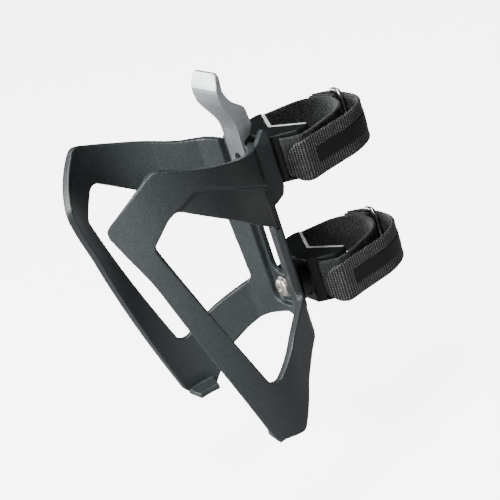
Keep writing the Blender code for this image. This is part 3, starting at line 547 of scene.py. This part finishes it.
def evenly(path, spacing, closed=False):
    # the same path with points a fixed distance apart, and the length up to each
    loop = np.concatenate([path, path[:1]]) if closed else path
    run = np.concatenate([[0.0], np.cumsum(np.linalg.norm(np.diff(loop, axis=0), axis=1))])
    count = max(8, int(round(run[-1] / spacing)))
    at = np.linspace(0, run[-1], count + 1)
    if closed:
        at = at[:-1]
    return np.stack([np.interp(at, run, loop[:, 0]), np.interp(at, run, loop[:, 1])], -1), at, run[-1]


def leftOf(path, closed=False):
    # unit normals on the left of a plan path, softened over a few points
    if closed:
        ahead = np.roll(path, -2, axis=0) - np.roll(path, 2, axis=0)
    else:
        ahead = np.gradient(path, axis=0)
    ahead /= np.linalg.norm(ahead, axis=1)[:, None]
    return np.stack([-ahead[:, 1], ahead[:, 0]], -1)


def stripSection(half, thickness, faceSteps, backSteps, edgeSteps=7):
    # a flat strip's section: outer face, round edge, inner face, round edge.
    # Gives across, depth and 1 on the outer face
    r = thickness / 2
    face = np.linspace(-(half - r), half - r, faceSteps)
    back = np.linspace(half - r, -(half - r), backSteps)
    turn = np.linspace(np.pi / 2, -np.pi / 2, edgeSteps + 2)[1:-1]
    across = np.concatenate([face, half - r + r * np.cos(turn), back,
                             -(half - r) - r * np.cos(turn)])
    depth = np.concatenate([np.full(faceSteps, r), r * np.sin(turn), np.full(backSteps, -r),
                            -r * np.sin(turn)])
    outer = np.concatenate([np.ones(faceSteps), np.zeros(len(across) - faceSteps)])
    return across, depth, outer


def carryStrip(path, run, section, height, drop=0.0, ends=None, relief=None, closed=False):
    # point = path + left normal * depth + up * across: a strip on edge, whose middle
    # line sinks by drop * (length / total)^2 and whose ends narrow by the given factors
    across, depth, outer = section
    normals = leftOf(path, closed)
    total = run[-1]
    narrow = np.ones(len(run)) if ends is None else ends
    wide = across[None, :] * narrow[:, None]
    deep = np.broadcast_to(depth[None, :], wide.shape).copy()
    if relief is not None:
        deep = deep + relief(run[:, None], wide, outer[None, :])
    points = np.zeros((*wide.shape, 3))
    points[..., 0] = path[:, 0, None] + normals[:, 0, None] * deep
    points[..., 1] = path[:, 1, None] + normals[:, 1, None] * deep
    points[..., 2] = height + wide - drop * (run[:, None] / total) ** 2
    edge = np.concatenate([wide, wide[:, :1]], 1)
    if closed:
        edge = np.concatenate([edge, edge[:1]], 0)
        along = np.concatenate([run, [run[-1] + run[1]]])
    else:
        along = run
    uv = np.stack(np.broadcast_arrays(along[:, None] / mm, edge / mm), -1)
    return points, uv


# moulded and pressed pieces

def joinedCopy(nodeName):
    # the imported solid's mesh with its loose triangles joined up
    mesh = bpy.data.meshes.new(nodeName + "Skin")
    work = bmesh.new()
    work.from_mesh(nodes[nodeName].data)
    bmesh.ops.remove_doubles(work, verts=work.verts, dist=0.001 * mm)
    work.to_mesh(mesh)
    work.free()
    return mesh


def moulded(name, nodeName, body, finish, look):
    # a closed skin of even cells over the solid, relaxed so that its edges turn round
    ob = addPiece(name, joinedCopy(nodeName), finish, body, [nodeName])
    skin = ob.modifiers.new("skin", "REMESH")
    skin.mode = "VOXEL"
    skin.voxel_size = look["cell"]
    skin.use_smooth_shade = True
    soft = ob.modifiers.new("relax", "SMOOTH")
    soft.factor = 0.5
    soft.iterations = look["relax"]
    applied(ob)
    points = np.zeros(len(ob.data.vertices) * 3)
    ob.data.vertices.foreach_get("co", points)
    points = points.reshape(-1, 3)
    if "shape" in look:
        points = look["shape"](points)
        ob.data.vertices.foreach_set("co", points.ravel())
    thin = ob.modifiers.new("thin out", "DECIMATE")
    thin.ratio = look["keep"]
    applied(ob)
    smoothed(ob.data)
    ob.data.materials.clear()
    ob.data.materials.append(finishes[finish])
    return ob


cageLook = {"cell": 0.4 * mm, "relax": 6, "keep": 0.33, "facet": math.radians(5.0),
            "flat": math.radians(57.5), "bottle": -82.5 * mm, "inside": 36 * mm}


def roundTheArms(points):
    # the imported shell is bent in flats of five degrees: a chord's radius is
    # R cos(half) / cos(angle from its middle), so the inverse makes it truly round.
    # Nearer the spine than the flat angle the walls run straight and stay as they are
    step = cageLook["facet"]
    x, y = points[:, 0], points[:, 1] - cageLook["bottle"]
    angle = np.arctan2(x, y)
    fromMiddle = (angle % step) - step / 2
    grow = np.cos(fromMiddle) / math.cos(step / 2)
    shell = (np.hypot(x, y) > cageLook["inside"]) & (np.abs(angle) > cageLook["flat"])
    grow = np.where(shell, grow, 1.0)
    points[:, 0] = x * grow
    points[:, 1] = y * grow + cageLook["bottle"]
    return points


cageLook["shape"] = roundTheArms
moulded("cageShell", "cage_body", "cage", "cage", cageLook)
moulded("tongueSpring", "retaining_tongue", "tongue", "tongue",
        {"cell": 0.22 * mm, "relax": 10, "keep": 0.45})
for side in sides:
    body = side + "_mount"
    moulded(side + "Wedge", side + "_adapter", body, "adapter",
            {"cell": 0.3 * mm, "relax": 3, "keep": 0.4})
    moulded(side + "VeeStrip", side + "_pad", body, "pad",
            {"cell": 0.22 * mm, "relax": 3, "keep": 0.4})
print("moulded pieces made")


# screws, washers and inserts

def turned(name, profile, middle, hexes=None, closed=False, steps=72):
    # point = (radius * cos, y, middle + radius * sin). Where a row is marked hexagonal its
    # radius becomes R cos(30) / cos(angle from the nearest flat's middle)
    rows = np.array(profile, float)
    angle = np.linspace(0, 2 * np.pi, steps, endpoint=False)
    flats = math.cos(math.pi / 6) / np.cos(angle % (math.pi / 3) - math.pi / 6)
    hexed = np.zeros(len(rows)) if hexes is None else np.array(hexes, float)
    radius = rows[:, :1] * (1 + hexed[:, None] * (flats[None, :] - 1))
    points = np.stack([radius * np.cos(angle), np.broadcast_to(rows[:, 1:], radius.shape),
                       middle + radius * np.sin(angle)], -1)
    return gridMesh(name, points, closeRows=closed)


screwLook = {"shank": 2.45 * mm, "socket": 1.55 * mm, "deep": 1.3 * mm, "pitch": 0.8 * mm,
             "thread": 0.14 * mm, "head": 2.3 * mm, "rim": 0.28 * mm, "edge": 0.15 * mm,
             "tip": 0.78, "crown": 0.3, "dome": (4, 74)}


def makeScrew(side):
    # a profile turned round the screw's line: tip, thread ridges, domed head and socket.
    # The dome is (R cos a, seat - head * (crown + (1 - crown) sin a))
    look = screwLook
    low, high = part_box(side + "_screw")
    middle, face, tip = (low[2] + high[2]) / 2, low[1], high[1]
    radius, seat = (high[0] - low[0]) / 2, low[1] + look["head"]
    turns = np.arange(tip - 0.5 * mm, seat + 0.6 * mm, -look["pitch"] / 2)
    ridges = look["shank"] - look["thread"] * (np.arange(len(turns)) % 2)
    dome = np.radians(np.linspace(*look["dome"], 12))
    crown = look["crown"] + (1 - look["crown"]) * np.sin(dome)
    floor, edge = face + look["deep"], look["edge"]
    profile = ([(0.3 * mm, tip), (look["shank"] * look["tip"], tip)]
               + list(zip(ridges, turns))
               + [(look["shank"], seat + 0.3 * mm), (look["shank"] + edge, seat),
                  (radius - edge, seat), (radius, seat - 0.12 * mm)]
               + list(zip(radius * np.cos(dome), seat - look["head"] * crown))
               + [(look["socket"] + look["rim"], face), (look["socket"], face + 0.2 * mm),
                  (look["socket"], floor), (0.9 * mm, floor + 0.15 * mm),
                  (0.1 * mm, floor + 0.5 * mm)])
    hexes = [0.0] * (len(profile) - 4) + [1.0, 1.0, 0.0, 0.0]
    mesh = turned(side + "Screw", profile, middle, hexes)
    addPiece(side + "Bolt", mesh, "screw", "cage", [side + "_screw"])


def makeRound(name, nodeName, body, finish, bore, chamfer):
    # a plain turned ring between the node's front and back, with chamfered rims
    low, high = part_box(nodeName)
    outer, front, back = (high[0] - low[0]) / 2, low[1], high[1]
    c = chamfer
    profile = [(bore + c, front), (outer - 2 * c, front), (outer - c * 0.6, front + c * 0.4),
               (outer, front + 1.6 * c), (outer, back - 1.6 * c), (outer - c * 0.6, back - c * 0.4),
               (outer - 2 * c, back), (bore + c, back), (bore + c * 0.3, back - c * 0.3),
               (bore, back - c), (bore, front + c), (bore + c * 0.3, front + c * 0.3)]
    mesh = turned(name, profile, (low[2] + high[2]) / 2, closed=True)
    addPiece(name, mesh, finish, body, [nodeName])


roundLook = {"washerBore": 2.8 * mm, "washerRim": 0.12 * mm, "insertBore": 2.8 * mm,
             "insertRim": 0.25 * mm}
for side in sides:
    makeScrew(side)
    makeRound(side + "Plate", side + "_washer", "cage", "washer",
              roundLook["washerBore"], roundLook["washerRim"])
    makeRound(side + "Sleeve", side + "_insert", side + "_mount", "insert",
              roundLook["insertBore"], roundLook["insertRim"])
print("fixings made")


# straps, rings and tails

webbing = {"width": 19.6 * mm, "thickness": 1.7 * mm, "post": 15.5 * mm, "slack": 1.3 * mm,
           "gap": 0.3 * mm, "wire": 1.1 * mm, "span": 7.2 * mm}
wedgeLook = {"half": 19.6 * mm, "nose": 10.4 * mm, "passage": -22.9 * mm, "clear": 0.6 * mm,
             "horn": -10.5 * mm, "shoulder": -17.4 * mm, "flare": 0.2 * mm, "mouth": 5.6 * mm,
             "turns": (6 * mm, 3.5 * mm, 2.5 * mm)}
loopRadius = webbing["post"] + webbing["slack"] + webbing["thickness"] / 2
coreThickness = webbing["thickness"] - 0.1 * mm     # the strip that the relief stands on


def strapPlace(side, part):
    # the body a strap piece rides on, and the height of the strap's middle line
    return side + part, joints[side + "_swivel"]["pos_m"][2]


def barPlan(side, second=False):
    # the ring's first bar stands on the tail's hinge line, the second a span before it
    x, y = joints[side + "_tail_peel"]["pos_m"][:2]
    reach = math.hypot(x, y)
    angle = math.atan2(x, y) - (webbing["span"] / reach if second else 0.0)
    return np.array([reach * math.sin(angle), reach * math.cos(angle)])


def aroundPost(angle, radius):
    # (R sin, R cos): angles start at the back of the post and grow to the near side
    return np.stack([radius * np.sin(angle), radius * np.cos(angle)], -1)


def flank():
    # plan corners beside the wedge: its horn, its shoulder and the mouth of its passage
    look = wedgeLook
    wide = look["half"] + webbing["thickness"] / 2 + look["clear"]
    return (np.array([wide, look["horn"]]), np.array([wide + look["flare"], look["shoulder"]]),
            np.array([look["nose"] + look["mouth"], look["passage"]]))


def loopPlan():
    # closed run: through the wedge, past its horns and round the back of the post
    arc = aroundPost(np.radians(np.linspace(4, 76, 37)), loopRadius)
    near = [(*p, 0) for p in arc]
    near += [(*p, r) for p, r in zip(flank(), wedgeLook["turns"])]
    far = [(-x, y, r) for x, y, r in near[::-1]]
    return roundedPath(far + near, closed=True)


pileLook = {"cell": 0.45 * mm, "height": 0.13 * mm, "curls": 4200, "fibre": 0.05 * mm,
            "curl": (0.22 * mm, 0.46 * mm), "spacing": 0.34 * mm, "lump": 3.2 * mm,
            "margin": 0.25 * mm, "root": 0.08 * mm, "squat": 0.75, "from": -17 * mm}


def matted(seed):
    # relief of brushed pile: two sizes of value noise on both faces
    def relief(run, wide, outer):
        face = 2 * outer - 1
        at = np.stack(np.broadcast_arrays(run, wide, outer * 0.05), -1)
        lumps = (softNoise(at, pileLook["cell"], seed)
                 + 0.6 * softNoise(at, pileLook["lump"], seed + 5))
        return face * pileLook["height"] * lumps
    return relief


def makePile(name, path, run, height, seed, body):
    # loose curls of yarn: each a half ring standing on the face, swept as a three-sided
    # tube: centre + along * cos * r + normal * sin * r * squat
    look = pileLook
    rng = np.random.default_rng(seed)
    pick = rng.integers(0, len(run), look["curls"])
    pick = pick[path[pick, 1] > look["from"]]
    count = len(pick)
    normal = np.concatenate([leftOf(path, True)[pick], np.zeros((count, 1))], 1)
    ahead = np.stack([normal[:, 1], -normal[:, 0], np.zeros(count)], -1)
    up = np.array([0.0, 0.0, 1.0])
    spin = rng.uniform(0, np.pi, count)[:, None]
    along = ahead * np.cos(spin) + up * np.sin(spin)
    radius = rng.uniform(*look["curl"], count)[:, None, None]
    across = rng.uniform(-1, 1, count) * (webbing["width"] / 2 - look["margin"])
    centre = np.concatenate([path[pick], height + across[:, None]], 1)
    centre += normal * (webbing["thickness"] / 2 - look["root"])
    swing = np.linspace(-0.15, np.pi + 0.15, 7)[None, :, None]
    spine = (centre[:, None] + along[:, None] * np.cos(swing) * radius
             + normal[:, None] * np.sin(swing) * radius * look["squat"])
    outward = along[:, None] * np.cos(swing) + normal[:, None] * np.sin(swing)
    side = np.cross(along, normal)[:, None]
    ring = np.radians([0, 120, 240])[None, None, :, None]
    points = (spine[:, :, None] + look["fibre"] * (outward[:, :, None] * np.cos(ring)
                                                  + side[:, :, None] * np.sin(ring)))
    stops, corners = points.shape[1:3]
    base = (np.arange(count) * stops * corners)[:, None, None]
    i, j = np.arange(stops - 1)[None, :, None] * corners, np.arange(corners)[None, None, :]
    j2 = (j + 1) % corners
    quads = np.stack([base + i + j, base + i + j2, base + i + corners + j2,
                      base + i + corners + j], -1).reshape(-1, 4)
    start = base[:, 0, 0]
    end = start + (stops - 1) * corners
    caps = np.concatenate([np.stack([start + 2, start + 1, start], -1),
                           np.stack([end, end + 1, end + 2], -1)])
    mesh = bpy.data.meshes.new(name)
    mesh.from_pydata(points.reshape(-1, 3).tolist(), [], quads.tolist() + caps.tolist())
    turnedOut(mesh)
    return addPiece(name, mesh, "pile", body)


def makeLoop(side, seed):
    # the flat section carried round the closed plan, matted all over, with curls on it
    body, height = strapPlace(side, "_mount")
    path, run, total = evenly(loopPlan(), pileLook["spacing"], closed=True)
    section = stripSection(webbing["width"] / 2, coreThickness, 56, 56)
    points, uv = carryStrip(path, run, section, height, relief=matted(seed), closed=True)
    mesh = gridMesh(side + "Loop", points, uv, closeRows=True)
    loop = addPiece(side + "Loop", mesh, "pile", body, [side + "_strap"])
    curls = makePile(side + "LoopCurls", path, run, height, seed, body)
    return total


# over is a corner's (x, y, radius) counted from the ring's bar and the wrap's end, beside is
# one whose x is counted from the straight run, and low is (y, radius) on that run
tailLook = {"drop": 2.6 * mm, "freeEnd": 9.0 * mm, "wrap": (178, 92), "low": (-10 * mm, 12 * mm),
            "over": (16 * mm, -0.6 * mm, 15 * mm), "beside": (0.8 * mm, 8 * mm, 22 * mm),
            "elbow": 4 * mm, "spacing": 0.2 * mm}
stripeLook = {"half": 3.6 * mm, "thickness": 0.4 * mm, "from": 0.2, "to": 0.8, "lift": 0.02 * mm,
              "corner": 0.5, "square": 6.0, "spacing": 0.25 * mm}
hookLook = {"length": 24 * mm, "thickness": 0.35 * mm, "pitch": 1.05 * mm, "hook": 0.26 * mm,
            "patch": 0.5 * mm, "sink": 0.16 * mm, "margin": 1.4 * mm, "bare": 2.2 * mm,
            "short": 1.6 * mm, "corner": 0.8, "spacing": 0.15 * mm}


def tailPlan(side):
    # round the first bar, over the fold, down the near side to the free end
    look, bar = tailLook, barPlan(side)
    reach = webbing["wire"] + webbing["gap"] + webbing["thickness"] / 2
    turn = np.radians(np.linspace(*look["wrap"], 14))
    start = bar + reach * np.stack([np.cos(turn), np.sin(turn)], -1)
    stand = webbing["thickness"] + hookLook["patch"] + 2.6 * webbing["gap"]
    shoulder, mouth = flank()[1:]
    down = (mouth - shoulder) / np.linalg.norm(mouth - shoulder)
    out = np.array([-down[1], down[0]])
    x = shoulder[0] + stand
    bend = shoulder + out * stand
    bend = bend - down * (bend[0] - x) / down[0]
    end = bend + down * look["freeEnd"]
    over, beside = look["over"], look["beside"]
    rest = roundedPath([(*start[-1], 0), (bar[0] + over[0], start[-1][1] + over[1], over[2]),
                        (x + beside[0], *beside[1:]), (x, *look["low"]),
                        (*bend, look["elbow"]), (*end, 0)])
    return np.concatenate([start[:-1], rest])


def knitted(total):
    # relief of the ribbed knit: |sin| ribs across the strip times |sin| stitches down
    # each rib, with a raised selvedge and a flat bed under the stripe
    look = knitLook

    def relief(run, wide, outer):
        rib = np.abs(np.sin(np.pi * run / look["rib"]))
        row = np.floor(run / look["rib"]) * 0.5
        stitch = np.abs(np.sin(np.pi * (wide / look["stitch"] + row)))
        inside = np.abs(wide) - webbing["width"] / 2 + look["selvedge"]
        edge = np.exp(-(inside / look["selvedgeWidth"]) ** 2)
        bed = ((np.abs(wide) < stripeLook["half"] + look["bedMargin"])
               & (run > stripeLook["from"] * total) & (run < stripeLook["to"] * total))
        body = rib * (0.35 + 0.65 * stitch) - 0.62
        return outer * look["height"] * np.where(bed, look["bed"], body + 0.5 * edge)
    return relief


def roundEnd(run, total, half, power=2.3):
    # the free end's outline: width factor (1 - q^n)^(1/n) over the last half width
    q = np.clip((run - (total - half * 0.9)) / (half * 0.9), 0, 0.9995)
    return (1 - q ** power) ** (1 / power)


def laidOn(path, run, offset, span, spacing, section, height, corner, relief=None):
    # a thin strip carried at an offset beside part of the tail's path, sinking as it does.
    # corner is the half width and power of its rounded end
    beside = path + leftOf(path) * offset
    at = np.linspace(*span, max(8, int((span[1] - span[0]) / spacing)))
    along = np.stack([np.interp(at, run, beside[:, 0]), np.interp(at, run, beside[:, 1])], -1)
    ends = roundEnd(at - at[0], at[-1] - at[0], *corner)
    points, uv = carryStrip(along, at, section, height, 0.0, ends, relief)
    points[..., 2] -= tailLook["drop"] * (at[:, None] / run[-1]) ** 2
    return points, uv


def makeTail(side):
    # three strips on one plan path: knitted webbing, a stripe outside and hooks inside
    body, height = strapPlace(side, "_tail")
    half, depth = webbing["width"] / 2, webbing["thickness"] / 2
    path, run, total = evenly(tailPlan(side), tailLook["spacing"])
    section = stripSection(half, coreThickness, 92, 24)
    points, uv = carryStrip(path, run, section, height, tailLook["drop"],
                            roundEnd(run, total, half), knitted(total))
    mesh = gridMesh(side + "Tail", points, uv)
    tail = addPiece(side + "Tail", mesh, "knit", body, [side + "_strap_tail"])

    look = stripeLook
    section = stripSection(look["half"], look["thickness"], 24, 8, 5)
    mesh = gridMesh(side + "Stripe", *laidOn(
        path, run, depth + look["lift"], (look["from"] * total, look["to"] * total),
        look["spacing"], section, height, (look["half"] * look["corner"], look["square"])))
    stripe = addPiece(side + "Stripe", mesh, "stripe", body, [side + "_tail_stripe"])

    # the hook patch is a grid of small hooks: peak = (sin along * sin across)^6
    look = hookLook

    def hooked(run, wide, outer):
        peak = (np.sin(np.pi * run / look["pitch"]) * np.sin(np.pi * wide / look["pitch"])) ** 6
        return -(1 - outer) * look["hook"] * peak * (np.abs(wide) < half - look["bare"])
    section = stripSection(half - look["margin"], look["thickness"], 16, 118, 3)
    mesh = gridMesh(side + "Hooks", *laidOn(
        path, run, -(depth + look["sink"]), (total - look["length"], total - look["short"]),
        look["spacing"], section, height, (half * look["corner"],), hooked))
    hooks = addPiece(side + "Hooks", mesh, "hooks", body, [side + "_hook_patch"])
    return total


# foldLook's legs are angles round the post, and its bend is an angle round the bar
foldLook = {"innerLeg": math.radians(30), "outerLeg": math.radians(27), "bend": (12, 168),
            "lift": 0.15 * mm, "sewn": 0.3 * mm, "spacing": 0.3 * mm, "seams": (3.2 * mm, 5.6 * mm),
            "seamWidth": 0.5 * mm, "dent": 0.22 * mm, "stitch": 2.2 * mm, "mat": 0.5}


def foldPlan(side):
    # in under the second bar, round it, and back over itself to the sewn end, where its
    # radius eases down by 3t^2 - 2t^3
    look, bar = foldLook, barPlan(side, second=True)
    reach = math.hypot(*bar)
    at = math.atan2(*bar)
    r = webbing["wire"] + webbing["gap"] + webbing["thickness"] / 2
    low, high = reach - r, reach + r
    t = np.linspace(0, 1, 24)
    inner = aroundPost(at - look["innerLeg"] * (1 - t), low + look["lift"])
    turn = math.atan2(-bar[1], -bar[0]) + np.radians(np.linspace(*look["bend"], 22))
    bend = bar + r * np.stack([np.cos(turn), np.sin(turn)], -1)
    sewn = low + webbing["thickness"] + webbing["gap"] + look["sewn"]
    outer = aroundPost(at - look["outerLeg"] * t, high + (sewn - high) * (3 * t ** 2 - 2 * t ** 3))
    return np.concatenate([inner, bend, outer])


def makeFold(side, seed):
    # the flat section carried along the fold's plan, matted, with sewn rows near its end
    look = foldLook
    body, height = strapPlace(side, "_mount")
    path, run, total = evenly(foldPlan(side), look["spacing"])
    section = stripSection(webbing["width"] / 2, coreThickness, 56, 56)

    def stitched(run, wide, outer):
        # each row is a bell of exp(-(distance / width)^2), dented deeper at its holes
        rows = sum(np.exp(-((run - total + seam) / look["seamWidth"]) ** 2)
                   for seam in look["seams"])
        holes = 0.6 + 0.4 * np.cos(2 * np.pi * wide / look["stitch"])
        pile = matted(seed)(run, wide, outer) * look["mat"]
        return pile - outer * look["dent"] * rows * holes
    points, uv = carryStrip(path, run, section, height, relief=stitched)
    mesh = gridMesh(side + "Fold", points, uv)
    fold = addPiece(side + "Fold", mesh, "pile", body, [side + "_strap_fold"])
    return total


ringLook = {"corner": 2.8 * mm, "clear": 0.4 * mm, "spacing": 0.45 * mm, "steps": 20}


def makeRing(side):
    # a tube along a rounded rectangle: section point = path + inward * cos * r + out * sin * r
    look = ringLook
    body, height = strapPlace(side, "_mount")
    first, second = barPlan(side), barPlan(side, second=True)
    middle, half = (first + second) / 2, np.linalg.norm(second - first) / 2
    along = (second - first) / (2 * half)
    high = webbing["width"] / 2 + webbing["gap"] + webbing["wire"] + look["clear"]
    corners = [(x, z, look["corner"]) for x, z in ((-half, -high), (half, -high),
                                                   (half, high), (-half, high))]
    flat = evenly(roundedPath(corners, closed=True, step=6.0), look["spacing"], closed=True)[0]
    inward = leftOf(flat, True)
    turn = np.linspace(0, 2 * np.pi, look["steps"], endpoint=False)
    wire = webbing["wire"]
    plane = flat[:, None] + inward[:, None] * (wire * np.cos(turn))[None, :, None]
    outward = np.array([-along[1], along[0]])
    offset = wire * np.sin(turn)
    points = np.zeros((len(flat), len(turn), 3))
    points[..., :2] = middle + plane[..., :1] * along + offset[None, :, None] * outward
    points[..., 2] = height + plane[..., 1]
    mesh = gridMesh(side + "Wire", points, closeRows=True)
    addPiece(side + "Wire", mesh, "ring", body, [side + "_ring"])


for seed, side in enumerate(sides, 3):
    makeRing(side)
    loop, tail, fold = makeLoop(side, seed * 11), makeTail(side), makeFold(side, seed * 17)
    print(side, "strap: loop %.1f, tail %.1f, fold %.1f mm" % (loop / mm, tail / mm, fold / mm))


# stage, light and camera

# pale to the eye and dim in reflections, so that black pieces stay black
stageLook = {"reach": 6.0, "drop": 45 * mm, "dim": (0.3, 0.3, 0.31), "pale": (0.93, 0.935, 0.94),
             "floorGlow": 5.0, "worldGlow": (0.07, 6.0)}


def seenDirectly(tree):
    return tree.nodes.new("ShaderNodeLightPath").outputs["Is Camera Ray"]


def makeStage():
    look = stageLook
    floor = bpy.data.meshes.new("floor")
    reach, low = look["reach"], cadBox[0][2] - look["drop"]
    floor.from_pydata([(-reach, -reach, low), (reach, -reach, low), (reach, reach, low),
                       (-reach, reach, low)], [], [(0, 1, 2, 3)])
    ob = bpy.data.objects.new("floor", floor)
    bpy.context.scene.collection.objects.link(ob)
    pale = bpy.data.materials.new("paleFloor")
    pale.use_nodes = True
    tree = pale.node_tree
    shader = tree.nodes["Principled BSDF"]
    seen = seenDirectly(tree)
    tree.links.new(blendColour(tree, seen, look["dim"], look["pale"]),
                   shader.inputs["Base Color"])
    tree.links.new(blendColour(tree, seen, (0.0, 0.0, 0.0), (1.0, 1.0, 1.0)),
                   shader.inputs["Emission Color"])
    shader.inputs["Emission Strength"].default_value = look["floorGlow"]
    shader.inputs["Roughness"].default_value = 0.9
    floor.materials.append(pale)


def makeWorld():
    world = bpy.data.worlds.new("studio")
    world.use_nodes = True
    tree = world.node_tree
    glow = tree.nodes["Background"]
    glow.inputs["Color"].default_value = (1.0, 1.0, 1.0, 1.0)
    tree.links.new(spread(tree, seenDirectly(tree), *stageLook["worldGlow"]),
                   glow.inputs["Strength"])
    bpy.context.scene.world = world


def addLight(name, place, target, size, power):
    data = bpy.data.lights.new(name, "AREA")
    data.shape = "DISK"
    data.size = size
    data.energy = power
    ob = bpy.data.objects.new(name, data)
    bpy.context.scene.collection.objects.link(ob)
    aim = np.array(target) - np.array(place)
    ob.rotation_euler = Vector(aim).to_track_quat("-Z", "Y").to_euler()
    ob.location = place


def makeCamera():
    # the view's right, up and back directions, and its place
    right = (0.55961588, 0.77532235, -0.29275472)
    up = (-0.1969639, 0.46755182, 0.86174272)
    back = (0.80500639, -0.4245828, 0.41435993)
    place = (0.4934, -0.3086, 0.2481)
    data = bpy.data.cameras.new("camera")
    data.lens = 95.34
    data.sensor_width = 36.0
    ob = bpy.data.objects.new("camera", data)
    bpy.context.scene.collection.objects.link(ob)
    turn = Matrix((right, up, back)).transposed().to_4x4()
    ob.matrix_world = Matrix.Translation(place) @ turn
    bpy.context.scene.camera = ob


makeStage()
makeWorld()
addLight("overhead", (0.1, -0.35, 1.3), (0, -0.05, -0.05), 0.5, 24.0)
addLight("frontKey", (0.35, -1.2, 0.55), (0, -0.05, 0.0), 0.45, 27.0)
addLight("farFill", (-1.0, -0.7, 0.25), (0, -0.05, 0), 0.6, 12.0)
makeCamera()
print("stage, lights and camera made")
